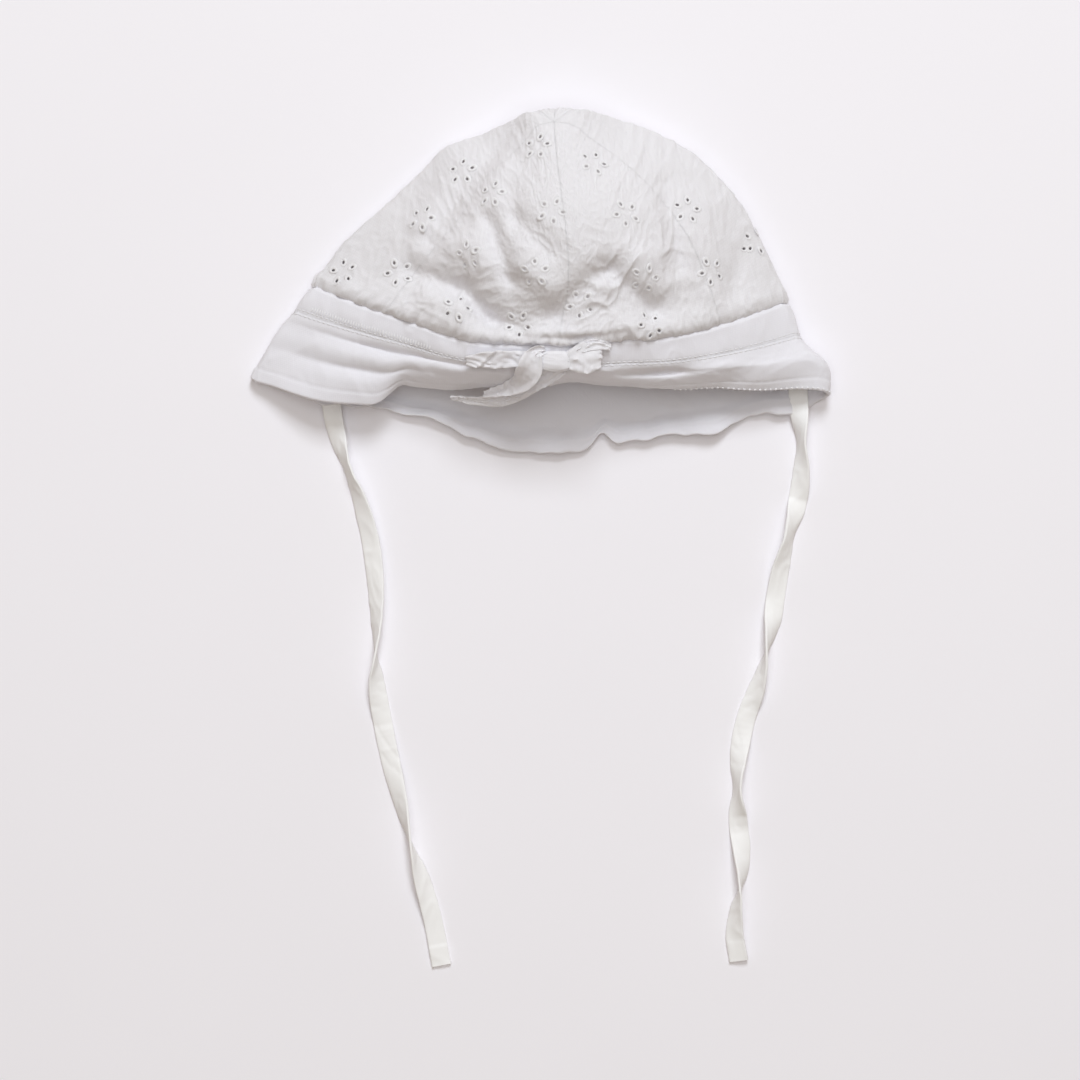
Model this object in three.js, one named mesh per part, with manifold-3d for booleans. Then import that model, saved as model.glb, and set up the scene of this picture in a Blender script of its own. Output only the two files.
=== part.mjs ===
// A baby's sun hat in eyelet cotton, lying on its back with the crown towards +Y and the opening
// towards -Y: six crown gores, a band, a brim, a bow on the band and two flat ties laid out on the
// surface.  Millimetres, +Z up, the surface at z = 0.
import * as THREE from "three";
import { mergeVertices } from "three/addons/utils/BufferGeometryUtils.js";
import Module from "manifold-3d";

const kernel = await Module();
kernel.setup();

// Rows of numbers with named columns
const table = (names, rows) => rows.map((row) => Object.fromEntries(names.map((name, i) => [name, row[i]])));

// Cut sizes of the cloth, measured along it from the apex of the crown
const APEX_START = 1;
const CROWN_DEPTH = 125;
const BAND_DEPTH = 13;
const BRIM_DEPTH = 34;
const BAND_START = CROWN_DEPTH;
const BRIM_START = CROWN_DEPTH + BAND_DEPTH;
const BRIM_EDGE = BRIM_START + BRIM_DEPTH;

// Walls and the gap left at each seam
const CROWN_WALL = 1.2;
const BAND_WALL = 1.3;
const BRIM_WALL = 1.6;
const SEAM_GAP = 0.4;

// Going round the hat in degrees from the middle of the front, positive to the right: the front
// faces up over FRONT_SPAN each way, then the cloth turns under at the side fold and lies flat.
const FRONT_SPAN = 80;
const FOLD_SPAN = 180 - 2 * FRONT_SPAN;
const GORE_SEAM = 57;
const GORE_ROWS = 15;
const GORE_COLUMNS = { front: 12, side: 11, back: 3 };
const RING_COLUMNS = 72;
const BRIM_ROWS = 4;

// Sections from the apex to the edge of the brim.  left, right: outermost point of each side fold,
// with the height of the fold's centre; turn: fold radius as a share of that height; front, back:
// the middle of the upper and of the lower cloth.
const SECTIONS = table([
  "down", "leftX", "leftY", "leftZ", "rightX", "rightY",
  "rightZ", "turn", "frontX", "frontY", "frontZ", "backY", "backZ",
], [
  [0, 5.9, 66, 29, 5.9, 66, 29, 0, 5.9, 66, 29, 66, 29],
  [8, -4, 70.6, 23.5, 16.6, 71.4, 24, 0.06, 6.3, 58.5, 34, 71.8, 22],
  [20, -12.5, 67.6, 16, 26, 70.6, 17, 0.25, 7.1, 48.5, 40, 72.8, 9],
  [32, -24, 63, 9, 37, 68, 10, 0.6, 8.3, 38.7, 45, 66, 1],
  [48, -39, 58, 5.5, 51.8, 62.8, 7, 1, 9.9, 26.1, 50, 50, 0],
  [70, -52, 45.6, 5, 69.6, 51.8, 6.5, 1, 11.6, 9.6, 52, 28, 0],
  [92, -70, 29, 4.5, 85.6, 33.4, 6.5, 1, 11.6, -4.9, 48, 6, 0],
  [110, -86, 13.4, 4.2, 98.4, 10.4, 6.2, 1, 9.6, -18, 41, -12.5, 0],
  [125, -97.5, -2, 4, 106.8, -9.1, 6, 1, 7.5, -29.5, 38.5, -27.5, 0],
  [138, -105.3, -12.6, 3.8, 112.3, -23, 6, 1, 7.1, -36.9, 36, -40.5, 0],
  [147, -110.4, -19.4, 3.5, 116.6, -29.6, 6.6, 1, 6.9, -39.6, 34, -49, 0],
  [157, -116, -27.6, 3.2, 122.4, -33.2, 7.2, 1, 6.7, -42.2, 30, -59, 0],
  [165, -120.3, -34.6, 2.9, 124.2, -39, 7, 1, 6.7, -43.8, 24.5, -66.2, 0],
  [172, -123.8, -40.8, 2.6, 123.7, -45.6, 6.4, 1, 6.8, -44.9, 18.8, -73, 0],
]);

// Ridges (rise above zero) and valleys pressed into the front, each along a line in plan
const FOLDS = table(["x1", "y1", "x2", "y2", "wide", "rise"], [
  [-13, 63, -46, 17, 4.5, -3], [-39, 51, -50, 24, 6, 3.6], [-16, 46, -28, 15, 6, 2.4],
  [-12.6, 37, -10, 24, 4, -1.5], [-10, 24, 4, 9, 4, -2], [-22, 24, -12, -2, 4, -3.5],
  [-34, 13, -24, 6, 7, 3.5], [-55, 4, -36, -3, 5, -6], [-31, -5, -21, -17, 4.2, -5.5],
  [-21, -17, -9, -23, 4, -4], [-47, -9, -34, -15, 5.5, 4], [-6, 4, 4, -6, 7, 3.5],
  [27, 3, 7, -15, 4.8, -6], [29, 2, 48, -14, 4.8, -5], [20, -21, 38, -21, 6.5, 4],
  [43, 6, 47, -3, 7, 3.5], [53, 40, 58, 4, 4.5, -3], [70, 32, 73, -6, 7, 3],
  [87, 20, 82, -6, 4.5, -2.5],
]);
const FOLD_FADE_START = 108;
const FOLD_FADE_END = 130;
const FOLD_FADE = 0.8;

// The lip that the crown makes over its seam with the band, and the gathers that run up from it
const LIP = { down: 119, wide: 5, rise: 2.2 };
const GATHERS = { every: GORE_SEAM / 4, rise: 0.6, reach: 12 };

// The front's relief dies away towards the side folds, the waves of the brim towards the band
const SIDE_FADE_POWER = 6;
const FLARE_POWER = 1.5;
const FLARE_LIMIT = 1.02;

// Waves of the brim: where they are round the hat, how far they push the edge out and up
const BRIM_WAVES = table(["around", "wide", "out", "up"], [
  [-62, 14, 9, 7], [-50, 8, 4.5, 1], [-28, 9, 2.8, 0], [-12, 8, 1, 1],
  [6, 8, -1.6, -1], [34, 9, 0, 1], [64, 12, 1, -1], [-129, 10, -5, 0],
  [-139, 8, -6, 0], [-150, 7, -8, 1.5], [-161, 7, -4, 0], [161, 3, -7, 0],
  [154, 4, -2.4, 0], [143, 6, -2, 1], [129, 6, 3, 2], [105, 7, 5, 0],
  [96, 12, 4, 0],
]);

// Creases along the brim, some way down from the band
const BRIM_CREASES = table(["around", "wide", "down", "tall", "rise"], [
  [-54, 20, 145, 3.4, -2.4], [-58, 18, 156.5, 3.6, -2.2], [31, 12, 150, 7, -4],
  [62, 14, 150, 6, 1], [-27, 10, 153, 5, 2],
]);

// Places where the cloth round the band has slipped towards the edge of the brim
const BAND_SAGS = table(["around", "wide", "down", "tall", "out"], [
  [-30, 14, 130, 14, 2.8], [21, 10, 127, 12, -1.6],
]);

// Eyelet flowers: each is a ring of round holes.  Places are in plan over the front.
const HOLES_IN_FLOWER = 5;
const FLOWER_RADIUS = 4.6;
const HOLE_RADIUS = 0.95;
const HOLE_SIDES = 5;
const PUNCH_LENGTH = 4 * CROWN_WALL;
const HOLE_SEAM_MARGIN = 1.9;
const FLOWERS = table(["x", "y", "turn"], [
  [-1, 55, 20], [22.6, 48, 50], [-33, 46, 10], [-20, 35, 30], [5, 26.4, 0],
  [36, 26, 62], [62, 29, 35], [92, 17, 15], [-50, 26, 40], [-30, 9, 25],
  [-2, 1, 45], [44, -1, 20], [72, 3, 50], [-60, 3, 5], [-35, -13, 55],
  [17, -12, 30], [-9, -20, 12], [46, -20, 40], [-84, 4, 20],
]);

// Bow: straps laid over the band and down over the brim.  above: height over the band at the
// knot; lean: turn of the strap about its own length, 0 lying flat.
const BOW_X = 9.3;
const BOW_Y = -35.5;
const BOW_THICK = 0.9;
const BOW_STEPS_PER_ROW = 2;
const KNOT = { x: 6.6, y: -35.4, wide: 13.5, long: 8.6, tall: 5.6, above: 3.4 };
const KNOT_GAP = 0.35;
const KNOT_SIDES = 8;
const KNOT_RINGS = 6;
const LOOP_LEFT = table(["x", "y", "above", "lean", "wide"], [
  [3, -35.2, 3.4, 10, 5], [-3, -35, 3.6, 14, 6.6], [-10, -34.5, 3.4, 18, 6.8],
  [-17, -34.8, 3, 22, 7.8], [-23, -35, 2.4, 26, 7.6], [-28, -35.2, 1.3, 20, 5.2],
  [-30.8, -35.2, -0.6, 18, 4.2], [-28, -35.3, -2.5, 15, 4.8], [-18, -35.4, -1.2, 6, 5],
  [-8, -35.2, 0.9, 4, 4.6], [3, -35.6, 2, 0, 4],
]);
const LOOP_RIGHT = table(["x", "y", "above", "lean", "wide"], [
  [9, -35.2, 3.6, 10, 5], [12.4, -35, 4.2, 8, 8.4], [15.5, -34.8, 5.4, 4, 11.4],
  [19.2, -34.4, 6, 0, 13.2], [22.6, -34.2, 5.3, 0, 11], [24.8, -34.2, 3.7, 0, 8],
  [22, -34.6, 2, 0, 6.4], [16, -35.4, 2, 0, 6], [9.5, -35.4, 2.8, 0, 4.6],
]);
const TAIL_UPPER = table(["x", "y", "above", "lean", "wide"], [
  [2.2, -31, 4.8, 0, 4], [-1, -32, 6, -5, 6], [-3.2, -35, 6.2, -10, 9.4],
  [-4.6, -39.4, 4.8, -14, 11], [-7.8, -43.8, -1.2, 0, 9], [-14.2, -46.6, -9.2, 25, 6.4],
  [-24, -48.6, -15, 45, 3.8],
]);
const TAIL_LOWER = table(["x", "y", "above", "lean", "wide"], [
  [9.6, -38.6, 1.4, -20, 5], [4.4, -40.8, -1.4, -25, 7.6], [-3, -44.6, -4.5, -25, 7.6],
  [-10, -48.4, -11.5, -15, 7], [-18, -51.2, -16, -15, 5.5], [-26, -51.2, -18.2, -30, 4],
  [-38, -49.9, -20.5, -50, 2.6],
]);

// Ties: flat strips sewn in under the band at the sides.  rest: height of what the strip lies on;
// roll: turn about its own length, 0 lying flat.
const TIE_WIDTH = 8.2;
const TIE_THICK = 1;
const TIE_STEPS = 32;
const TIE_LEFT = table(["x", "y", "rest", "roll"], [
  [-90.5, -33.5, 4, 0], [-89.9, -43, 2.4, 0], [-89.2, -54, 2.2, 4], [-87.3, -64, 0.4, 24],
  [-82.6, -79, 0, 68], [-76.6, -95.3, 0, 40], [-72.6, -111.6, 0, 22], [-70.6, -127.9, 0, 30],
  [-70, -144.6, 0, 55], [-70.4, -159.2, 0, 90], [-70, -172.9, 0, 145], [-67.2, -190.5, 0, 180],
  [-63.5, -208.1, 0, 195], [-59.8, -223.1, 0, 225], [-55.6, -240.4, 0, 270], [-51, -255, 0, 318],
  [-46.4, -272, 0, 350], [-42.3, -293, 0, 360],
]);
const TIE_RIGHT = table(["x", "y", "rest", "roll"], [
  [109.6, -35, 5, 0], [110.5, -44, 2.6, 6], [111.2, -55, 2.2, 20], [112, -67.4, 0.2, 68],
  [112.2, -80.3, 0, 40], [111.2, -91, 0, 8], [107, -108.2, 0, -58], [103, -124, 0, -20],
  [100.9, -137, 0, -6], [99.2, -149, 0, -50], [97, -159, 0, -90], [93.4, -172.9, 0, -140],
  [88.6, -186.8, 0, -180], [85.4, -202.5, 0, -150], [84.6, -216.7, 0, -108], [85.2, -231.7, 0, -172],
  [86.6, -244, 0, -205], [86.6, -256, 0, -248], [84.4, -268, 0, -300], [83.6, -279, 0, -330],
  [85.4, -291, 0, -350],
]);

// Cross section of a flat strip, in shares of its width and thickness
const STRIP_OUTLINE = [[-0.5, 0], [-0.45, -0.5], [0.45, -0.5], [0.5, 0], [0.45, 0.5], [-0.45, 0.5]];

// Steps for reading the surface: for its slopes, and for finding the place over a point in plan
const SLOPE_STEP = 0.25;
const SEARCH = { around: 8, down: 6, passes: 8, share: 0.5 };
const WELD = 1e-4;
const COTTON = "#f3f2f0";

const UP = new THREE.Vector3(0, 0, 1);
const { lerp, clamp, smoothstep, degToRad } = THREE.MathUtils;
const COLUMNS = Object.keys(SECTIONS[0]).filter((key) => key !== "down");
const sectionValues = SECTIONS.flatMap((row) => COLUMNS.map((key) => row[key]));
const sectionCurve = new THREE.CubicInterpolant(
  SECTIONS.map((row) => row.down), sectionValues, COLUMNS.length);

function sectionAt(down) {
  const values = sectionCurve.evaluate(clamp(down, 0, BRIM_EDGE));
  return Object.fromEntries(COLUMNS.map((key, i) => [key, values[i]]));
}

const bell = (off, wide) => Math.exp(-((off / wide) ** 2));

function reliefAt(x, y) {
  return FOLDS.reduce((sum, f) => {
    const length = Math.hypot(f.x2 - f.x1, f.y2 - f.y1);
    const ux = (f.x2 - f.x1) / length;
    const uy = (f.y2 - f.y1) / length;
    const along = (x - f.x1) * ux + (y - f.y1) * uy;
    const past = along - clamp(along, 0, length);
    const off = (y - f.y1) * ux - (x - f.x1) * uy;
    return sum + f.rise * Math.exp(-(off * off + past * past) / (f.wide * f.wide));
  }, 0);
}

// The outer face of the hat, a given number of degrees round and millimetres down from the apex
function hatSurface(around, down) {
  const turned = THREE.MathUtils.euclideanModulo(around + 180, 360) - 180;
  const s = sectionAt(down);
  const leftTurn = s.leftZ * s.turn;
  const rightTurn = s.rightZ * s.turn;
  const leftX = s.leftX + leftTurn;
  const rightX = s.rightX - rightTurn;
  const middle = {
    x: (leftX + rightX) / 2,
    y: (s.leftY + s.rightY) / 2,
    z: (s.leftZ + s.rightZ) / 2,
  };
  const turn = (leftTurn + rightTurn) / 2;
  const rise = s.frontZ - middle.z - turn;
  const tilt = Math.atan2(2 * Math.max(rise, 0), (rightX - leftX) / 2);
  const side = turned < 0 ? -1 : 1;
  const off = Math.abs(turned);
  const across = side * Math.min(off, 180 - off, FRONT_SPAN) / FRONT_SPAN;
  const share = 1 - across * across;
  const half = (1 + across) / 2;
  const point = new THREE.Vector3(
    lerp(leftX, rightX, half), lerp(s.leftY, s.rightY, half), lerp(s.leftZ, s.rightZ, half));
  if (off <= FRONT_SPAN) {
    point.x += across * turn * Math.sin(tilt) + (s.frontX - middle.x) * share;
    point.y += (s.frontY - middle.y) * share;
    point.z += lerp(leftTurn, rightTurn, half) * lerp(Math.cos(tilt), 1, share) + rise * share;
    const faded = 1 - FOLD_FADE * smoothstep(down, FOLD_FADE_START, FOLD_FADE_END);
    const lip = LIP.rise * bell(down - LIP.down, LIP.wide);
    const gather = GATHERS.rise * Math.cos(2 * Math.PI * around / GATHERS.every)
      * Math.exp(-Math.abs(CROWN_DEPTH - down) / GATHERS.reach);
    point.z += (1 - across ** SIDE_FADE_POWER) * (lip + gather + faded * reliefAt(point.x, point.y));
  } else if (off < FRONT_SPAN + FOLD_SPAN) {
    const angle = lerp(tilt, Math.PI, (off - FRONT_SPAN) / FOLD_SPAN);
    const radius = side < 0 ? leftTurn : rightTurn;
    const toGo = (Math.PI - angle) / (Math.PI - tilt);
    point.x += side * (radius * Math.sin(angle) - (radius - turn) * Math.sin(tilt) * toGo);
    point.z += radius * Math.cos(angle);
  } else {
    point.y += (s.backY - middle.y) * share;
    point.z -= lerp(leftTurn, rightTurn, half);
    point.z += (s.backZ - middle.z + turn) * share;
  }
  const flare = clamp((down - BRIM_START) / BRIM_DEPTH, 0, FLARE_LIMIT) ** FLARE_POWER;
  for (const wave of BRIM_WAVES) {
    const weight = flare * bell(turned - wave.around, wave.wide);
    point.y -= wave.out * weight;
    point.z += wave.up * weight;
  }
  for (const crease of BRIM_CREASES) {
    const weight = bell(turned - crease.around, crease.wide) * bell(down - crease.down, crease.tall);
    point.z += crease.rise * weight;
  }
  for (const sag of BAND_SAGS) {
    const weight = bell(turned - sag.around, sag.wide) * bell(down - sag.down, sag.tall);
    point.y -= sag.out * weight;
  }
  point.z = Math.max(point.z, 0);
  return point;
}

function tangents(around, down) {
  const step = SLOPE_STEP;
  const above = Math.max(down - step, 0);
  return {
    across: hatSurface(around + step, down).sub(hatSurface(around - step, down)),
    along: hatSurface(around, down + step).sub(hatSurface(around, above)),
    degree: 2 * step,
  };
}

function outward(around, down) {
  const { across, along } = tangents(around, down);
  return along.cross(across).normalize();
}

function solidFrom(points, faces) {
  const geometry = new THREE.BufferGeometry().setFromPoints(points);
  geometry.setIndex(faces);
  return geometry;
}

// A cloth wall between two angles and two depths, its outer face on the hat's surface.
// A wall that goes all the way round closes on itself.
function clothWall({ from, to, columns, start, end, rows, wall }) {
  const ring = to - from === 360;
  const count = ring ? columns : columns + 1;
  const outer = [];
  const inner = [];
  for (let j = 0; j <= rows; j++) {
    const down = lerp(start, end, j / rows);
    const inset = (angle) => {
      const { across, degree } = tangents(angle, down);
      return ring ? 0 : SEAM_GAP / 2 / (across.length() / degree);
    };
    const first = from + inset(from);
    const last = to - inset(to);
    for (let i = 0; i < count; i++) {
      const around = lerp(first, last, i / columns);
      const point = hatSurface(around, down);
      outer.push(point);
      inner.push(outward(around, down).multiplyScalar(-wall).add(point));
    }
  }
  const back = outer.length;
  const faces = [];
  const at = (i, j) => j * count + (i % count);
  for (let j = 0; j < rows; j++) {
    for (let i = 0; i < columns; i++) {
      const [a, b, c, d] = [at(i, j), at(i + 1, j), at(i + 1, j + 1), at(i, j + 1)];
      faces.push(a, d, b, b, d, c);
      faces.push(a + back, b + back, d + back, b + back, c + back, d + back);
    }
  }
  // the two walls at a seam are split along the same diagonal, so a twist keeps the gap
  const rim = (a, b) => faces.push(a, b, b + back, a, b + back, a + back);
  const facingRim = (a, b) => faces.push(a, b, a + back, b, b + back, a + back);
  for (let i = 0; i < columns; i++) {
    rim(at(i, 0), at(i + 1, 0));
    facingRim(at(i + 1, rows), at(i, rows));
  }
  for (let j = 0; j < rows && !ring; j++) {
    facingRim(at(0, j + 1), at(0, j));
    rim(at(columns, j), at(columns, j + 1));
  }
  return solidFrom([...outer, ...inner], faces);
}

// The angle and depth at which the front passes over a point in plan
function locate(x, y) {
  let best = { around: 0, down: 0, miss: Infinity };
  for (let around = -FRONT_SPAN; around <= FRONT_SPAN; around += SEARCH.around) {
    for (let down = SEARCH.down; down <= BRIM_START; down += SEARCH.down) {
      const p = hatSurface(around, down);
      const miss = Math.hypot(p.x - x, p.y - y);
      if (miss < best.miss) best = { around, down, miss };
    }
  }
  for (let pass = 0; pass < SEARCH.passes; pass++) {
    const { across, along } = tangents(best.around, best.down);
    const p = hatSurface(best.around, best.down);
    const det = across.x * along.y - across.y * along.x;
    const [dx, dy] = [x - p.x, y - p.y];
    best.around += SEARCH.share * (dx * along.y - dy * along.x) / det;
    best.down += SEARCH.share * (across.x * dy - across.y * dx) / det;
  }
  return best;
}

function eyeletHoles() {
  return FLOWERS.flatMap((flower) => {
    const centre = locate(flower.x, flower.y);
    const { across, along } = tangents(centre.around, centre.down);
    const e1 = across.clone().normalize();
    const e2 = along.addScaledVector(e1, -along.dot(e1)).normalize();
    return Array.from({ length: HOLES_IN_FLOWER }, (_, i) => {
      const angle = degToRad(flower.turn + (360 / HOLES_IN_FLOWER) * i);
      const x = flower.x + FLOWER_RADIUS * (Math.cos(angle) * e1.x + Math.sin(angle) * e2.x);
      const y = flower.y + FLOWER_RADIUS * (Math.cos(angle) * e1.y + Math.sin(angle) * e2.y);
      return locate(x, y);
    });
  });
}

function welded(geometry) {
  geometry.deleteAttribute("normal");
  geometry.deleteAttribute("uv");
  return mergeVertices(geometry, WELD);
}

function toManifold(geometry) {
  return new kernel.Manifold(new kernel.Mesh({
    numProp: 3,
    vertProperties: new Float32Array(geometry.attributes.position.array),
    triVerts: new Uint32Array(geometry.index.array),
  }));
}

function fromManifold(solid) {
  const mesh = solid.getMesh();
  const geometry = new THREE.BufferGeometry();
  geometry.setAttribute("position", new THREE.BufferAttribute(mesh.vertProperties, 3));
  geometry.setIndex([...mesh.triVerts]);
  return geometry;
}

// A gore of the crown with its eyelets cut through
function gore({ from, to, columns }, holes) {
  const cloth = clothWall({
    from, to, columns, rows: GORE_ROWS, wall: CROWN_WALL,
    start: APEX_START, end: CROWN_DEPTH - SEAM_GAP / 2 });
  const own = holes.filter(({ around, down }) => {
    const { across, degree } = tangents(around, down);
    const margin = HOLE_SEAM_MARGIN / (across.length() / degree);
    return around > from + margin && around < to - margin && down < CROWN_DEPTH - HOLE_SEAM_MARGIN;
  });
  if (own.length === 0) return cloth;
  const punches = own.map(({ around, down }) => {
    const normal = outward(around, down);
    const punch = new THREE.CylinderGeometry(HOLE_RADIUS, HOLE_RADIUS, PUNCH_LENGTH, HOLE_SIDES);
    punch.applyQuaternion(new THREE.Quaternion().setFromUnitVectors(new THREE.Vector3(0, 1, 0), normal));
    const middle = hatSurface(around, down).addScaledVector(normal, -CROWN_WALL / 2);
    return toManifold(welded(punch.translate(middle.x, middle.y, middle.z)));
  });
  return fromManifold(toManifold(cloth).subtract(kernel.Manifold.union(punches)));
}

// A flat ribbon swept along points, each with the direction of the ribbon's width.  No part of it
// goes below the floor.
function ribbon(stations, thick, steps, floor = -Infinity) {
  const curve = new THREE.CatmullRomCurve3(stations.map((row) => row.point), false, "centripetal");
  const points = [];
  for (let k = 0; k <= steps; k++) {
    const at = k / steps;
    const spot = at * (stations.length - 1);
    const low = Math.min(Math.floor(spot), stations.length - 2);
    const centre = curve.getPoint(at);
    const tangent = curve.getTangent(at);
    const wide = lerp(stations[low].wide, stations[low + 1].wide, spot - low);
    const side = stations[low].side.clone().lerp(stations[low + 1].side, spot - low);
    side.addScaledVector(tangent, -side.dot(tangent)).normalize();
    const up = new THREE.Vector3().crossVectors(tangent, side);
    const ring = STRIP_OUTLINE.map(
      ([u, v]) => centre.clone().addScaledVector(side, u * wide).addScaledVector(up, v * thick));
    const lift = Math.max(floor - Math.min(...ring.map((point) => point.z)), 0);
    for (const point of ring) points.push(point.addScaledVector(UP, lift));
  }
  const n = STRIP_OUTLINE.length;
  const faces = [];
  for (let k = 0; k < steps; k++) {
    for (let i = 0; i < n; i++) {
      const [a, b] = [k * n + i, k * n + ((i + 1) % n)];
      // the two faces of the strip are split along the same diagonal, so a twist keeps its thickness
      if (i < n / 2) faces.push(a, b, b + n, a, b + n, a + n);
      else faces.push(a, b, a + n, b, b + n, a + n);
    }
  }
  for (let i = 1; i < n - 1; i++) {
    faces.push(0, i + 1, i);
    faces.push(steps * n, steps * n + i, steps * n + i + 1);
  }
  return solidFrom(points, faces);
}

// The level direction square to a route at one of its rows
function flatSide(route, i) {
  const [before, after] = [route[Math.max(i - 1, 0)], route[Math.min(i + 1, route.length - 1)]];
  return new THREE.Vector3(before.y - after.y, after.x - before.x, 0).normalize();
}

// A tie lying on the surface: where it is rolled on edge its middle stands higher
function tie(route) {
  const stations = route.map((row, i) => {
    const roll = degToRad(row.roll);
    const lift = Math.abs(Math.sin(roll)) * TIE_WIDTH / 2 + Math.abs(Math.cos(roll)) * TIE_THICK / 2;
    const side = flatSide(route, i).multiplyScalar(Math.cos(roll)).addScaledVector(UP, Math.sin(roll));
    return { point: new THREE.Vector3(row.x, row.y, row.rest + lift), side, wide: TIE_WIDTH };
  });
  return ribbon(stations, TIE_THICK, TIE_STEPS, 0);
}

function knotBall(gap) {
  const ball = new THREE.SphereGeometry(0.5, KNOT_SIDES, KNOT_RINGS);
  ball.scale(KNOT.wide + 2 * gap, KNOT.long + 2 * gap, KNOT.tall + 2 * gap);
  return ball.translate(KNOT.x, KNOT.y, bandTop + KNOT.above);
}

// A strap of the bow, cut clear of the knot
function bowStrap(rows, level) {
  const stations = rows.map((row, i) => {
    const lean = degToRad(row.lean);
    const side = level(i).multiplyScalar(Math.cos(lean)).addScaledVector(UP, Math.sin(lean));
    return { point: new THREE.Vector3(row.x, row.y, bandTop + row.above), side, wide: row.wide };
  });
  const strap = toManifold(ribbon(stations, BOW_THICK, BOW_STEPS_PER_ROW * (rows.length - 1)));
  return fromManifold(strap.subtract(toManifold(welded(knotBall(KNOT_GAP)))));
}

const bowLoop = (rows) => bowStrap(rows, () => new THREE.Vector3(0, 1, 0));
const bowTail = (rows) => bowStrap(rows, (i) => flatSide(rows, i));

const knotSpot = locate(BOW_X, BOW_Y);
const bandTop = hatSurface(knotSpot.around, knotSpot.down).z;
const holes = eyeletHoles();

const pieces = {
  crown_front_left: gore({ from: -GORE_SEAM, to: 0, columns: GORE_COLUMNS.front }, holes),
  crown_front_right: gore({ from: 0, to: GORE_SEAM, columns: GORE_COLUMNS.front }, holes),
  crown_side_left: gore({ from: GORE_SEAM - 180, to: -GORE_SEAM, columns: GORE_COLUMNS.side }, holes),
  crown_side_right: gore({ from: GORE_SEAM, to: 180 - GORE_SEAM, columns: GORE_COLUMNS.side }, holes),
  crown_back_left: gore({ from: -180, to: GORE_SEAM - 180, columns: GORE_COLUMNS.back }, []),
  crown_back_right: gore({ from: 180 - GORE_SEAM, to: 180, columns: GORE_COLUMNS.back }, []),
  band: clothWall({
    from: -180, to: 180, columns: RING_COLUMNS, rows: 1, wall: BAND_WALL,
    start: BAND_START + SEAM_GAP / 2, end: BRIM_START - SEAM_GAP / 2 }),
  brim: clothWall({
    from: -180, to: 180, columns: RING_COLUMNS, rows: BRIM_ROWS, wall: BRIM_WALL,
    start: BRIM_START + SEAM_GAP / 2, end: BRIM_EDGE }),
  bow_knot: knotBall(0),
  bow_loop_left: bowLoop(LOOP_LEFT),
  bow_loop_right: bowLoop(LOOP_RIGHT),
  bow_tail_upper: bowTail(TAIL_UPPER),
  bow_tail_lower: bowTail(TAIL_LOWER),
  tie_left: tie(TIE_LEFT),
  tie_right: tie(TIE_RIGHT),
};

const hat = new THREE.Group();
hat.name = "baby_sun_hat";
for (const [name, geometry] of Object.entries(pieces)) {
  const cotton = new THREE.MeshStandardMaterial({ color: COTTON, roughness: 0.9, metalness: 0 });
  const mesh = new THREE.Mesh(geometry, cotton);
  mesh.name = name;
  hat.add(mesh);
}
export default hat;
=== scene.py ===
"""Dresses a baby's sun hat that lies on its back: eyelet crown, band, brim, bow and two ties."""
import math
from functools import partial

import bpy
import numpy as np
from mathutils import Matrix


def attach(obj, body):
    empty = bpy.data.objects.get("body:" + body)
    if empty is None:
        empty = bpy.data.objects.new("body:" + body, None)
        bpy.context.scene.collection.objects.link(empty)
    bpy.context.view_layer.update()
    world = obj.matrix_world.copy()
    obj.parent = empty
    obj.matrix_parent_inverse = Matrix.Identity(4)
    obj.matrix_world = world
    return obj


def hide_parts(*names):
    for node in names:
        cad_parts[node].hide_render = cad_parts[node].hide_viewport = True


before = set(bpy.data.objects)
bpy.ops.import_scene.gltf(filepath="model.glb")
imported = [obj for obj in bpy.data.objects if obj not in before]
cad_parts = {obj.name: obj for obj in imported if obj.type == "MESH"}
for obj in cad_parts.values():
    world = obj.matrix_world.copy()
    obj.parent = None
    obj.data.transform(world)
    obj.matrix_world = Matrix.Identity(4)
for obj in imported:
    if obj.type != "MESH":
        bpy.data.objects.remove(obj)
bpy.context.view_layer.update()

bl_info = {
    "name": "Baby Sun Hat",
    "version": (1, 0, 0),
    "blender": (4, 5, 0),
    "location": "View3D > Sidebar > Sun Hat",
    "description": "Builds a white eyelet sun hat lying on its back, with its bow and ties",
    "category": "Object",
}

MM = 0.001
UP = np.array([0.0, 0.0, 1.0])

# Vertices nearer to each other than this are merged, in metres
WELD = 1e-6
# Cloth is kept this far above the surface that the hat lies on, in millimetres
FLOOR_CLEAR = 0.02
SMOOTH_ANGLE = math.radians(62)


def table(names, rows):
    """A short table as one array for each named column."""
    return dict(zip(names.split(), np.array(rows, float).T))


# Cut depths of the cloth in millimetres, measured along it from the top of the crown
CROWN_DEPTH = 125.0
BRIM_START = 138.0
BRIM_EDGE = 172.0
BRIM_DEPTH = BRIM_EDGE - BRIM_START
HEM_DEPTH = 5.4
# What a panel keeps under the seam, and how far a row of stitches is from it
SEAM_TUCK = 1.2
STITCH_INSET = 1.2
# Millimetres of cloth to a degree at the crown's lower edge, and what the brim's edge has more
CROWN_CLOTH = 1.3
FLARE_CLOTH = 0.28

# Degrees from the middle of the front to the side fold, across that fold, and to the gores' seams
FRONT_SPAN = 80.0
FOLD_SPAN = 20.0
GORE_SEAM = 57.0
GORE_SEAMS = (GORE_SEAM - 180, -GORE_SEAM, 0, GORE_SEAM, 180 - GORE_SEAM, 180, -180)

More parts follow.
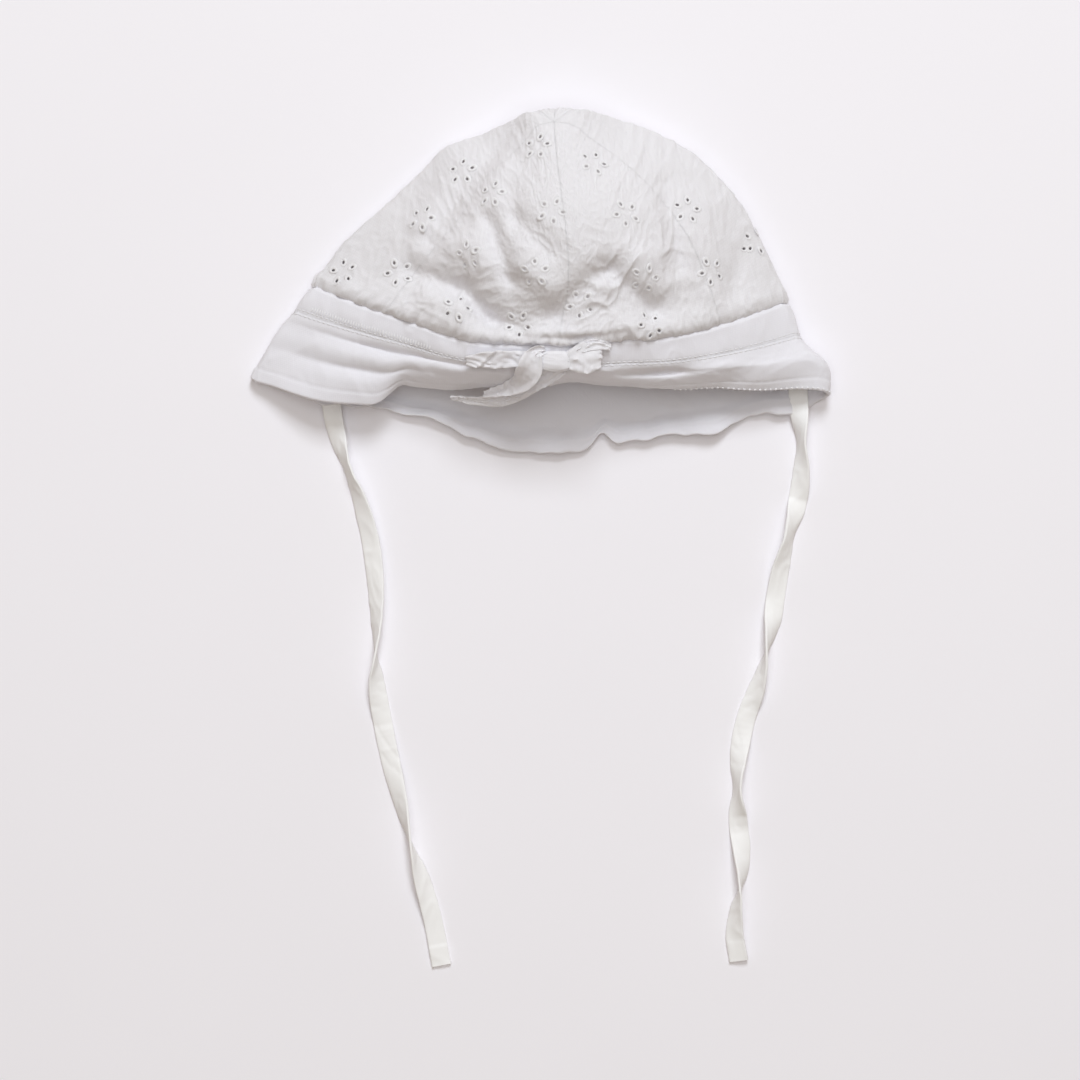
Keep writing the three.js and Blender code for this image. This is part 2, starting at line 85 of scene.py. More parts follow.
# The lying hat in sections: the outermost point of each side fold, and the middle of the upper
# and of the lower cloth, in millimetres
SECTIONS = table(
    "down left_x left_y left_z right_x right_y right_z turn front_x front_y front_z back_y back_z",
    [
        (0, 5.9, 66, 29, 5.9, 66, 29, 0, 5.9, 66, 29, 66, 29),
        (8, -4, 70.6, 23.5, 16.6, 71.4, 24, 0.06, 6.3, 58.5, 34, 71.8, 22),
        (20, -12.5, 67.6, 16, 26, 70.6, 17, 0.25, 7.1, 48.5, 40, 72.8, 9),
        (32, -24, 63, 9, 37, 68, 10, 0.6, 8.3, 38.7, 45, 66, 1),
        (48, -39, 58, 5.5, 51.8, 62.8, 7, 1, 9.9, 26.1, 50, 50, 0),
        (70, -52, 45.6, 5, 69.6, 51.8, 6.5, 1, 11.6, 9.6, 52, 28, 0),
        (92, -70, 29, 4.5, 85.6, 33.4, 6.5, 1, 11.6, -4.9, 48, 6, 0),
        (110, -86, 13.4, 4.2, 98.4, 10.4, 6.2, 1, 9.6, -18, 41, -12.5, 0),
        (125, -97.5, -2, 4, 106.8, -9.1, 6, 1, 7.5, -29.5, 38.5, -27.5, 0),
        (138, -105.3, -12.6, 3.8, 112.3, -23, 6, 1, 7.1, -36.9, 36, -40.5, 0),
        (147, -110.4, -19.4, 3.5, 116.6, -29.6, 6.6, 1, 6.9, -39.6, 34, -49, 0),
        (157, -116, -27.6, 3.2, 122.4, -33.2, 7.2, 1, 6.7, -42.2, 30, -59, 0),
        (165, -120.3, -34.6, 2.9, 124.2, -39, 7, 1, 6.7, -43.8, 24.5, -66.2, 0),
        (172, -123.8, -40.8, 2.6, 123.7, -45.6, 6.4, 1, 6.8, -44.9, 18.8, -73, 0),
    ],
)

# Ridges (rise above zero) and valleys of the upper cloth, each along a line in plan
FOLDS = table(
    "x1 y1 x2 y2 wide rise",
    [
        (-13, 63, -46, 17, 4.5, -3), (-39, 51, -50, 24, 6, 3.6), (-16, 46, -28, 15, 6, 2.4),
        (-12.6, 37, -10, 24, 4, -1.5), (-10, 24, 4, 9, 4, -2), (-22, 24, -12, -2, 4, -3.5),
        (-34, 13, -24, 6, 7, 3.5), (-55, 4, -36, -3, 5, -4.3), (-31, -5, -21, -17, 4.2, -4),
        (-21, -17, -9, -23, 4, -4), (-47, -9, -34, -15, 5.5, 4), (-6, 4, 4, -6, 7, 3.5),
        (27, 3, 7, -15, 4.8, -3.2), (29, 2, 48, -14, 4.8, -2.9), (20, -21, 38, -21, 6.5, 4),
        (43, 6, 47, -3, 7, 3.5), (53, 40, 58, 4, 4.5, -3), (70, 32, 73, -6, 7, 3),
        (87, 20, 82, -6, 4.5, -2.5),
    ],
)
# They fade by a share on the way down to the band, and wholly at the side folds
FOLD_FADE = {"from": 108.0, "to": 130.0, "share": 0.8}
SIDE_FADE_POWER = 6

# The lip that the crown makes over its seam with the band, and the gathers that run up from it
LIP = {"down": 119.0, "wide": 5.0, "rise": 2.2}
GATHERS = {"every": GORE_SEAM / 4, "rise": 0.6, "reach": 12.0}

# Waves of the brim, by degrees round the hat, which grow towards its edge, and creases along it
FLARE = {"limit": 1.02, "power": 1.5}
WAVES = table(
    "around wide out up",
    [
        (-62, 14, 9, 7), (-50, 8, 4.5, 1), (-28, 9, 2.8, 0), (-12, 8, 1, 1), (6, 8, -1.6, -1),
        (34, 9, 0, 1), (64, 12, 1, -1), (-49, 3.5, 1.4, 0), (-42.5, 3, -2.2, 0),
        (-129, 10, -5, 0), (-139, 8, -6, 0), (-150, 7, -8, 1.5), (-161, 7, -4, 0), (161, 3, -7, 0),
        (154, 4, -2.4, 0), (143, 6, -2, 1), (129, 6, 3, 2), (105, 7, 5, 0), (96, 12, 4, 0),
    ],
)
CREASES = table(
    "around wide down tall rise",
    [
        (-54, 20, 145, 3.4, -2.4), (-58, 18, 156.5, 3.6, -2.2), (31, 12, 150, 7, -4),
        (62, 14, 150, 6, 1), (-27, 10, 153, 5, 2),
    ],
)

# The back of the brim's edge, by degrees from the front: how far it lifts off the surface over the
# last depth of the brim, and how far it wavers in plan
BACK_LIFT = {"from": 96, "to": 112, "mean": 3.0, "swing": 1.6, "least": 1.2, "most": 4.6, "deep": 13}
BACK_WAVER = {"from": 98, "to": 112, "out": 0.9, "every": 4.5}
# Degrees over which the small relief goes over into that of the other side of the back
BACK_MEET = (140, 180)

# Places where the cloth round the band has slipped towards the edge of the brim
BAND_SAGS = table("around wide down tall out", [(-30, 14, 130, 14, 2.8), (21, 10, 127, 12, -1.6)])

# Eyelet flowers over the front, by their place in plan
FLOWERS = table(
    "x y turn",
    [
        (-1, 55, 20), (22.6, 48, 50), (-33, 46, 10), (-20, 35, 30), (5, 26.4, 0), (36, 26, 62),
        (62, 29, 35), (92, 17, 15), (-50, 26, 40), (-30, 9, 25), (-2, 1, 45), (44, -1, 20),
        (72, 3, 50), (-60, 3, 5), (-35, -13, 55), (17, -12, 30), (-9, -20, 12), (46, -20, 40),
        (-84, 4, 20),
    ],
)
HOLES_IN_FLOWER = 5
FLOWER_RADIUS = 4.6
HOLE_BAND_MARGIN = 1.9
# An eyelet's length to its width, its rim's height to its width, and how much wider the cloth is cut
OVAL = 1.4
RIM_FLAT = 0.5
HOLE_TRIM = 0.3

# Crown panels: first and last degree round the hat, and the cell of the mesh in millimetres
FRONT_CELL = 0.6
SIDE_CELL = 0.65
BACK_CELL = 1.6
GORES = {
    "crown_front_left": (-GORE_SEAM, 0.0, FRONT_CELL),
    "crown_front_right": (0.0, GORE_SEAM, FRONT_CELL),
    "crown_side_left": (GORE_SEAM - 180, -GORE_SEAM, SIDE_CELL),
    "crown_side_right": (GORE_SEAM, 180 - GORE_SEAM, SIDE_CELL),
    "crown_back_left": (-180.0, GORE_SEAM - 180, BACK_CELL),
    "crown_back_right": (180 - GORE_SEAM, 180.0, BACK_CELL),
}
# What the mesh of a gore leaves open at the top, at the band and at each of its sides, and the least
# millimetres to a degree that the sides are worked out with
GORE_GAPS = {"top": 0.06, "band": 0.05, "side": 0.01}
LEAST_WIDTH = 0.05

# Cells of the band's mesh, and columns and rows of the brim's faces and of its rounded edge
BAND_CELLS = (640, 20)
BRIM_COLUMNS = 700
BRIM_ROWS = 45
BRIM_EDGE_ROWS = 9
# How far the inner face's weave is moved from the outer face's, so that they differ
BRIM_UV_STEP = 40

# Bow straps: a place over the band, with the lean of the strap about its length and its width
BOW_COLUMNS = "x y above lean wide"
BOW_LOOPS = {
    "bow_loop_left": table(BOW_COLUMNS, [
        (3, -35.2, 3.4, 10, 5), (-3, -35, 3.6, 14, 6.6), (-10, -34.5, 3.4, 18, 6.8),
        (-17, -34.8, 3, 22, 7.8), (-23, -35, 2.4, 26, 7.6), (-28, -35.2, 1.3, 20, 5.2),
        (-30.8, -35.2, -0.6, 18, 4.2), (-28, -35.3, -2.5, 15, 4.8), (-18, -35.4, -1.2, 6, 5),
        (-8, -35.2, 0.9, 4, 4.6), (3, -35.6, 2, 0, 4)]),
    "bow_loop_right": table(BOW_COLUMNS, [
        (9, -35.2, 3.6, 10, 5), (12.4, -35, 4.2, 8, 8.4), (15.5, -34.8, 5.4, 4, 11.4),
        (19.2, -34.4, 6, 0, 13.2), (22.6, -34.2, 5.3, 0, 11), (24.8, -34.2, 3.7, 0, 8),
        (22, -34.6, 2, 0, 6.4), (16, -35.4, 2, 0, 6), (9.5, -35.4, 2.8, 0, 4.6)]),
}
BOW_TAILS = {
    "bow_tail_upper": table(BOW_COLUMNS, [
        (2.2, -31, 4.8, 0, 4), (-1, -32, 6, -5, 6), (-3.2, -35, 6.2, -10, 9.4),
        (-4.6, -39.4, 4.8, -14, 11), (-7.8, -43.8, -1.2, 0, 9), (-14.2, -46.6, -9.2, 25, 6.4),
        (-24, -48.6, -15, 45, 3.8)]),
    "bow_tail_lower": table(BOW_COLUMNS, [
        (9.6, -38.6, 1.4, -20, 5), (4.4, -40.8, -1.4, -25, 7.6), (-3, -44.6, -4.5, -25, 7.6),
        (-10, -48.4, -11.5, -15, 7), (-18, -51.2, -16, -15, 5.5), (-26, -51.2, -18.2, -30, 4),
        (-38, -49.9, -20.5, -50, 2.6)]),
    "bow_flap": table(BOW_COLUMNS, [
        (15.5, -31, 5.6, 0, 4.4), (20.5, -29, 5.8, -10, 5), (25.5, -28.6, 4.4, 0, 4.4),
        (29.4, -29.6, 2.4, 0, 3)]),
}
BOW_STEPS = 120
# Place in plan at which the band's height is taken, and the knot, a ball made squarer by a power
BOW_X = 9.3
BOW_Y = -35.5
KNOT = {"x": 6.6, "y": -35.4, "wide": 13.5, "long": 8.6, "tall": 5.6, "above": 3.4, "square": 0.65}

# How far the middle of a strap swells or sinks, and how far its pleats reach from the knot
PUFF = {
    "bow_loop_left": 0.4, "bow_loop_right": 0.9, "bow_tail_upper": -0.7, "bow_tail_lower": -0.6,
    "bow_flap": 0.3,
}
PLEAT_REACH = 8

# Ties: what the strip lies on, and its roll about its own length in degrees
TIES = {
    "tie_left": table("x y rest roll", [
        (-90.5, -33.5, 4, 0), (-89.9, -43, 2.4, 0), (-89.2, -54, 2.2, 4), (-87.3, -64, 0.4, 24),
        (-82.6, -79, 0, 68), (-76.6, -95.3, 0, 40), (-72.6, -111.6, 0, 22), (-70.6, -127.9, 0, 30),
        (-70, -144.6, 0, 55), (-70.4, -159.2, 0, 90), (-70, -172.9, 0, 145), (-67.2, -190.5, 0, 180),
        (-63.5, -208.1, 0, 195), (-59.8, -223.1, 0, 225), (-55.6, -240.4, 0, 270), (-51, -255, 0, 318),
        (-46.4, -272, 0, 350), (-42.3, -293, 0, 360)]),
    "tie_right": table("x y rest roll", [
        (109.6, -35, 5, 0), (110.5, -44, 2.6, 6), (111.2, -55, 2.2, 20), (112, -67.4, 0.2, 68),
        (112.2, -80.3, 0, 40), (111.2, -91, 0, 8), (107, -108.2, 0, -58), (103, -124, 0, -20),
        (100.9, -137, 0, -6), (99.2, -149, 0, -50), (97, -159, 0, -90), (93.4, -172.9, 0, -140),
        (88.6, -186.8, 0, -180), (85.4, -202.5, 0, -150), (84.6, -216.7, 0, -108),
        (85.2, -231.7, 0, -172), (86.6, -244, 0, -205), (86.6, -256, 0, -248), (84.4, -268, 0, -300),
        (83.6, -279, 0, -330), (85.4, -291, 0, -350)]),
}
TIE_STEPS = 360
# The turned end of a tie, by millimetres from its end, and how much thicker it is
TIE_HEM = {"from": 9, "to": 8, "thicker": 0.35}

# Section of a folded strip: across in widths and up in thicknesses, along both faces and edges
STRIP_FACE = np.linspace(-0.47, 0.47, 11)
STRIP_EDGE = np.array([0.493, 0.5, 0.493])
STRIP_ACROSS = np.concatenate([STRIP_FACE, STRIP_EDGE, -STRIP_FACE, -STRIP_EDGE, STRIP_FACE[:1]])
STRIP_RISE = np.array([-0.5] * 11 + [-0.36, 0, 0.36] + [0.5] * 11 + [0.36, 0, -0.36] + [-0.5])
# How far the upper face's weave is moved from the lower face's, in widths
STRIP_UV_STEP = 1.2

# Rows of stitches: points that a row is followed by, the distance that gives its direction, and
# how far a stitch stands off the cloth
STITCH_POINTS = 1400
STITCH_AHEAD = 0.3
STITCH_LIFT = 0.1

# Steps in which slopes are measured and places are searched, in degrees and millimetres
SLOPE_STEP = 0.25
SEARCH = {"degrees": 4, "top": 6, "depth": 3, "rounds": 10}

# Points in the lattice of the cloth's noise, and its gain to about 1
LATTICE = 64
NOISE_GAIN = 1.6

# Period of the wave texture at a scale of 1
WAVE_PERIOD = 0.314159

# Soft daylight: place and size of each lamp in metres and its watts, and the point that they face
DAYLIGHT = (0.872, 0.937, 1.0)
LAMPS = {
    "window": ((0.3, 1.9, 2.2), 1.0, 53.5),
    "ceiling": ((0.0, 0.0, 2.4), 2.0, 25),
}
LAMP_AIM = (0.0, -0.06, 0.02)
ROOM_LIGHT = {"Color": (1.0, 0.76, 0.5, 1.0), "Strength": 0.24}

# Light that the thin cotton lets through into the crown: place, width and depth in millimetres, watts
GLOW_TINT = (1.0, 0.98, 0.96)
GLOWS = {
    "glow_in_crown": ((6, 12, 9), 136, 56, 0.0078),
    "glow_near_apex": ((4, 45, 9), 52, 22, 0.0018),
}

# The surface in metres, and the camera straight above it: place, width of the view and sensor in
# millimetres
SURFACE_SIZE = 6
CAMERA = {"y": -110.3, "height": 1500, "view": 464.4, "sensor": 36}


def linear(code):
    """An sRGB hex colour as the linear colour that a shader socket takes."""
    parts = [int(code[i:i + 2], 16) / 255 for i in (1, 3, 5)]
    return tuple(p / 12.92 if p <= 0.04045 else ((p + 0.055) / 1.055) ** 2.4 for p in parts)


class HatSizes(bpy.types.PropertyGroup):
    """Sizes of the hat that a user would change."""

    crown_wall: bpy.props.FloatProperty(
        name="Crown cloth", description="Thickness of the eyelet cotton", default=0.0007, unit="LENGTH")
    band_wall: bpy.props.FloatProperty(
        name="Band cloth", description="Thickness of the doubled band", default=0.0013, unit="LENGTH")
    brim_wall: bpy.props.FloatProperty(
        name="Brim cloth", description="Thickness of the doubled brim", default=0.0016, unit="LENGTH")
    hole_radius: bpy.props.FloatProperty(
        name="Eyelet", description="Radius of an eyelet's opening", default=0.00055, unit="LENGTH")
    rim_width: bpy.props.FloatProperty(
        name="Eyelet rim", description="Width of an eyelet's stitched rim", default=0.0011, unit="LENGTH")
    stitch_length: bpy.props.FloatProperty(
        name="Stitch", description="Length of one stitch", default=0.0019, unit="LENGTH")
    thread_radius: bpy.props.FloatProperty(
        name="Thread", description="Radius of the sewing thread", default=0.00022, unit="LENGTH")
    tie_width: bpy.props.FloatProperty(
        name="Tie width", description="Width of a flat tie", default=0.0082, unit="LENGTH")
    tie_thick: bpy.props.FloatProperty(
        name="Tie thickness", description="Thickness of a folded tie", default=0.001, unit="LENGTH")
    strap_thick: bpy.props.FloatProperty(
        name="Bow strap", description="Thickness of the bow's strap", default=0.0009, unit="LENGTH")


class HatColours(bpy.types.PropertyGroup):
    """Colours of the hat and of the surface that it lies on."""

    cotton: bpy.props.FloatVectorProperty(
        name="Cotton", description="White of the cotton", subtype="COLOR",
        default=linear("#E6E4E6"))
    # painted shade: the deeper white painted into the gaps between the threads
    painted_gap_shade: bpy.props.FloatVectorProperty(
        name="Cotton shade", description="White between the threads", subtype="COLOR",
        default=linear("#D8D6D7"))
    # the thread's white in the hollows of its ply, a touch deeper than the cloth as painted shade there
    thread: bpy.props.FloatVectorProperty(
        name="Thread", description="White of the embroidery thread", subtype="COLOR",
        default=linear("#E1DFE0"))
    floor: bpy.props.FloatVectorProperty(
        name="Surface", description="Pale surface under the hat", subtype="COLOR",
        default=linear("#F5F2F6"))


def sizes():
    """The hat's sizes in millimetres."""
    group = bpy.context.scene.sun_hat_sizes
    return {key: getattr(group, key) / MM for key in HatSizes.__annotations__}


def colours():
    """The hat's colours with an alpha, as sockets take them."""
    group = bpy.context.scene.sun_hat_colours
    return {key: (*getattr(group, key), 1.0) for key in HatColours.__annotations__}


def bell(off, wide):
    """A hump of height 1 at 0, which falls away over a width."""
    return np.exp(-((off / wide) ** 2))


def step_between(value, low, high):
    """Rises smoothly from 0 at low to 1 at high."""
    t = np.clip((value - low) / (high - low), 0, 1)
    return t * t * (3 - 2 * t)


def mix(a, b, t):
    """The value a share t of the way from a to b."""
    return a + (b - a) * t


def unit(vectors):
    """The vectors at a length of 1."""
    return vectors / np.maximum(np.linalg.norm(vectors, axis=-1, keepdims=True), 1e-9)


def lengths_along(points):
    """How far each point is along a line through all of them."""
    return np.concatenate([[0], np.cumsum(np.linalg.norm(np.diff(points, axis=0), axis=1))])


def through(knots, values, at):
    """A smooth cubic through the values at the knots, read at the given places."""
    at = np.clip(at, knots[0], knots[-1])
    i = np.clip(np.searchsorted(knots, at, side="right"), 1, len(knots) - 1)
    before = np.where(i >= 2, i - 2, i)
    after = np.where(i < len(knots) - 1, i + 1, i - 1)
    half = (knots[i] - knots[i - 1]) / 2
    first = half / (knots[i - 1] - knots[before])
    last = half / (knots[after] - knots[i])
    p = (at - knots[i - 1]) / (2 * half)
    w0 = -first * p**3 + 2 * first * p**2 - first * p
    w1 = (1 + first) * p**3 + (-1.5 - 2 * first) * p**2 + (-0.5 + first) * p + 1
    w2 = (-1 - last) * p**3 + (1.5 + last) * p**2 + 0.5 * p
    w3 = last * p**3 - last * p**2
    return w0 * values[before] + w1 * values[i - 1] + w2 * values[i] + w3 * values[after]


def fold_relief(x, y):
    """Rise of the upper cloth at places in plan, from all of its ridges and valleys."""
    total = np.zeros_like(x)
    for x1, y1, x2, y2, wide, rise in zip(*FOLDS.values()):
        length = math.hypot(x2 - x1, y2 - y1)
        ux, uy = (x2 - x1) / length, (y2 - y1) / length
        along = (x - x1) * ux + (y - y1) * uy
        past = along - np.clip(along, 0, length)
        off = (y - y1) * ux - (x - x1) * uy
        total += rise * np.exp(-(off**2 + past**2) / wide**2)
    return total


def hat_surface(around, down):
    """The outer face of the hat, in millimetres, by degrees round it and depth from its top."""
    around, down = np.broadcast_arrays(np.asarray(around, float), np.asarray(down, float))
    turned = np.mod(around + 180, 360) - 180
    # the section at each depth, with the radius of its side folds
    s = {key: through(SECTIONS["down"], SECTIONS[key], down) for key in SECTIONS if key != "down"}
    left_turn, right_turn = s["left_z"] * s["turn"], s["right_z"] * s["turn"]
    left_x, right_x = s["left_x"] + left_turn, s["right_x"] - right_turn
    mid_x, mid_y = (left_x + right_x) / 2, (s["left_y"] + s["right_y"]) / 2
    mid_z, turn = (s["left_z"] + s["right_z"]) / 2, (left_turn + right_turn) / 2
    rise = s["front_z"] - mid_z - turn
    tilt = np.arctan2(2 * np.maximum(rise, 0), (right_x - left_x) / 2)
    side, off = np.where(turned < 0, -1.0, 1.0), np.abs(turned)
    across = side * np.minimum(np.minimum(off, 180 - off), FRONT_SPAN) / FRONT_SPAN
    share, half = 1 - across**2, (1 + across) / 2
    x = mix(left_x, right_x, half)
    y = mix(s["left_y"], s["right_y"], half)
    z = mix(s["left_z"], s["right_z"], half)
    both = mix(left_turn, right_turn, half)
    front, back = off <= FRONT_SPAN, off >= FRONT_SPAN + FOLD_SPAN
    # the upper cloth, arched between the side folds, with its ridges, lip and gathers
    front_x = x + across * turn * np.sin(tilt) + (s["front_x"] - mid_x) * share
    front_y = y + (s["front_y"] - mid_y) * share
    front_z = z + both * mix(np.cos(tilt), 1, share) + rise * share
    faded = 1 - FOLD_FADE["share"] * step_between(down, FOLD_FADE["from"], FOLD_FADE["to"])
    lip = LIP["rise"] * bell(down - LIP["down"], LIP["wide"])
    gather = GATHERS["rise"] * np.cos(2 * np.pi * around / GATHERS["every"])
    gather = gather * np.exp(-np.abs(CROWN_DEPTH - down) / GATHERS["reach"])
    small = lip + gather + faded * fold_relief(front_x, front_y)
    front_z = front_z + (1 - across**SIDE_FADE_POWER) * small
    # the side folds
    angle = mix(tilt, np.pi, np.clip((off - FRONT_SPAN) / FOLD_SPAN, 0, 1))
    radius = np.where(side < 0, left_turn, right_turn)
    ease = (radius - turn) * np.sin(tilt) * (np.pi - angle) / (np.pi - tilt)
    fold_x, fold_z = x + side * (radius * np.sin(angle) - ease), z + radius * np.cos(angle)
    # the lower cloth, which lies on the surface
    back_y = y + (s["back_y"] - mid_y) * share
    back_z = z - both + (s["back_z"] - mid_z + turn) * share
    x = np.where(front, front_x, np.where(back, x, fold_x))
    y = np.where(front, front_y, np.where(back, back_y, y))
    z = np.where(front, front_z, np.where(back, back_z, fold_z))
    # the brim's waves and creases, and where the band's cloth has slipped
    flare = np.clip((down - BRIM_START) / BRIM_DEPTH, 0, FLARE["limit"]) ** FLARE["power"]
    for place, wide, out, up in zip(*WAVES.values()):
        weight = flare * bell(turned - place, wide)
        y, z = y - out * weight, z + up * weight
    for place, wide, depth, tall, lift in zip(*CREASES.values()):
        z = z + lift * bell(turned - place, wide) * bell(down - depth, tall)
    for place, wide, depth, tall, out in zip(*BAND_SAGS.values()):
        y = y - out * bell(turned - place, wide) * bell(down - depth, tall)
    return np.stack([x, y, np.maximum(z, 0)], axis=-1)


def hat_tangents(around, down):
    """Steps along the hat's face, round it and down it, each over twice SLOPE_STEP."""
    across = hat_surface(around + SLOPE_STEP, down) - hat_surface(around - SLOPE_STEP, down)
    above = np.maximum(down - SLOPE_STEP, 0)
    along = hat_surface(around, down + SLOPE_STEP) - hat_surface(around, above)
    return across, along


def outward(around, down):
    """Directions square to the hat's face, pointing out of it."""
    across, along = hat_tangents(around, down)
    return unit(np.cross(along, across))


def locate(x, y):
    """The degrees round and the depth at which the front passes over points in plan: the nearest
    place of a coarse grid, and then steps along the slopes there."""
    degrees = np.arange(-FRONT_SPAN, FRONT_SPAN + 1, SEARCH["degrees"])
    depths = np.arange(SEARCH["top"], BRIM_START, SEARCH["depth"])
    grid_a, grid_d = (grid.ravel() for grid in np.meshgrid(degrees, depths))
    near = hat_surface(grid_a, grid_d)
    best = np.argmin((near[:, 0, None] - x) ** 2 + (near[:, 1, None] - y) ** 2, axis=0)
    around, down = grid_a[best], grid_d[best]
    for _ in range(SEARCH["rounds"]):
        across, along = hat_tangents(around, down)
        here = hat_surface(around, down)
        det = across[:, 0] * along[:, 1] - across[:, 1] * along[:, 0]
        dx, dy = x - here[:, 0], y - here[:, 1]
        around = around + 2 * SLOPE_STEP * (dx * along[:, 1] - dy * along[:, 0]) / det
        down = down + 2 * SLOPE_STEP * (across[:, 0] * dy - across[:, 1] * dx) / det
    return around, down


def quintic(t):
    """Rises from 0 to 1 with level, evenly curved ends."""
    return t**3 * (t * (t * 6 - 15) + 10)


def cloth_noise(x, y, seed):
    """Smooth random height, about -1 to 1, with one hump to a unit."""
    angles = np.random.default_rng(seed).uniform(0, 2 * np.pi, (LATTICE, LATTICE))
    x0, y0 = np.floor(x).astype(int), np.floor(y).astype(int)
    fx, fy = x - x0, y - y0
    sx, sy = quintic(fx), quintic(fy)
    total = np.zeros(np.broadcast(x, y).shape)
    for i in (0, 1):
        for j in (0, 1):
            turn = angles[(x0 + i) % LATTICE, (y0 + j) % LATTICE]
            weight = (sx if i else 1 - sx) * (sy if j else 1 - sy)
            total += weight * (np.cos(turn) * (fx - i) + np.sin(turn) * (fy - j))
    return NOISE_GAIN * total


def crumple(x, y, size, seed):
    """Creases of limp cotton: sharp little ridges, 0 to 1 high, with soft hollows between them."""
    px, py = x / size, y / size
    wx = px + 0.7 * cloth_noise(px / 2, py / 2, seed + 1)
    wy = py + 0.7 * cloth_noise(px / 2 + 9, py / 2, seed + 2)
    height = np.sqrt(cloth_noise(wx, wy, seed) ** 2 + 0.003) - 0.05
    return (1 - np.clip(height * 1.8, 0, 1)) ** 2


def cloth_width(down):
    """Millimetres of cloth to a degree round the hat."""
    crown = CROWN_CLOTH * np.sin(np.pi / 2 * np.clip(down / CROWN_DEPTH, 0, 1))
    return crown + FLARE_CLOTH * np.clip((down - CROWN_DEPTH) / (BRIM_EDGE - CROWN_DEPTH), 0, 1)


def gathered_relief(around, to_band, near):
    """Puckers where the crown is gathered to the band, the roll of cloth over that seam, and a fold
    across the middle of the front."""
    wobble = 0.5 * cloth_noise(around / 9, to_band / 22, 11)
    pucker = np.abs(np.sin(np.pi * (around / 4.9 + wobble)))
    drift = 0.5 * cloth_noise(around / 15, to_band / 30, 12)
    broad = np.abs(np.sin(np.pi * (around / 10.5 + 0.5 + drift)))
    size = np.clip(0.75 + 0.7 * cloth_noise(around / 11, 0 * around + 0.4, 13), 0.15, 1.5)
    size = size * (1 - 0.6 * step_between(around, 5, 35)) * (1 - 0.7 * bell(around - 2, 16))
    roll = bell(to_band - 3.6, 2.8) * (0.5 + 1.1 * size * pucker)
    fold = bell(around - 4, 15) * (0.9 * bell(to_band - 8, 1.7) - 1.1 * bell(to_band - 4.8, 1.3))
    return near * size * (0.7 * pucker + 1.5 * broad - 1.2) + roll + fold


def creased_relief(around, down, near):
    """Creases of the crown's limp cotton, from broad ones to a fine crinkle, and the little pleats
    at its top."""
    u, v = around * cloth_width(down), down
    patch = np.clip(0.55 + 0.8 * cloth_noise(u / 34, v / 34, 21), 0.15, 1.2)
    patch = patch * mix(0.35, 1, step_between(down, 30, 85))
    relief = patch * (1.1 * crumple(u, v, 22, 31) + 0.65 * crumple(u, v * 0.8, 10, 41) - 0.4)
    low_left = bell(around + 32, 26) * step_between(down, 76, 98)
    relief += 0.6 * low_left * (crumple(u * 0.55, v, 8, 45) - 0.3)
    relief += (0.26 + 0.3 * near) * (crumple(u * 1.25, v * 0.75, 4.4, 51) - 0.25)
    relief += 0.14 * (crumple(u * 1.3, v * 0.8, 2.3, 55) - 0.25)
    top = np.exp(-down / 16) * step_between(down, 2, 12)
    pleats = np.sin(2 * np.pi * around / 15 + 2 * cloth_noise(around / 20, down / 9, 61))
    return relief + 0.3 * top * pleats


def seam_relief(around, down):
    """Grooves of the seams between the gores, with the cloth puckered beside them."""
    relief = np.zeros_like(down)
    ripple = np.sin(2 * np.pi * down / 5.5 + 3 * cloth_noise(down / 12, 0 * down, 71))
    groove = 0.06 + 0.5 * np.exp(-down / 17)
    for seam in GORE_SEAMS:
        off = np.abs(around - seam) * cloth_width(down)
        relief += 0.05 * np.exp(-off / 5) * ripple
        relief += groove * (0.3 * bell(off - 2.4, 1.6) - bell(off, 0.8))
    return relief


def crown_relief(around, down):
    """Small relief of the crown's cloth, outward in millimetres.  It sinks into the seam at the band."""
    to_band = CROWN_DEPTH - down
    near = np.exp(-to_band / 9)
    relief = gathered_relief(around, to_band, near)
    relief += creased_relief(around, down, near)
    relief += seam_relief(around, down)
    return relief * step_between(down, 0.5, 9) - 1.3 * np.exp(-to_band)


def shared_relief(u, down):
    """A slow rise and fall that the band and the brim have in common at their seam."""
    return 0.6 * cloth_noise(u / 19, (down - CROWN_DEPTH) / 16, 102)


def band_relief(around, down):
    """Small relief of the band: a soft roll between its seams, creases across it, and the groove of
    its stitches.  It goes under the crown at its upper seam."""
    u, v = around * cloth_width(down), down - CROWN_DEPTH
    deep = BRIM_START - CROWN_DEPTH
    roll = np.sin(np.pi * np.clip(v / deep, 0, 1))
    relief = 0.35 * roll + 0.3 * crumple(u, v * 0.35, 6.5, 101) * roll**0.5
    relief += shared_relief(u, down)
    relief -= 0.14 * bell(v - deep + STITCH_INSET, 0.6)
    relief -= 1.4 * step_between(-v, -0.8, 0.8) + 0.1 * np.exp(-(deep - v) / 0.7)
    return relief


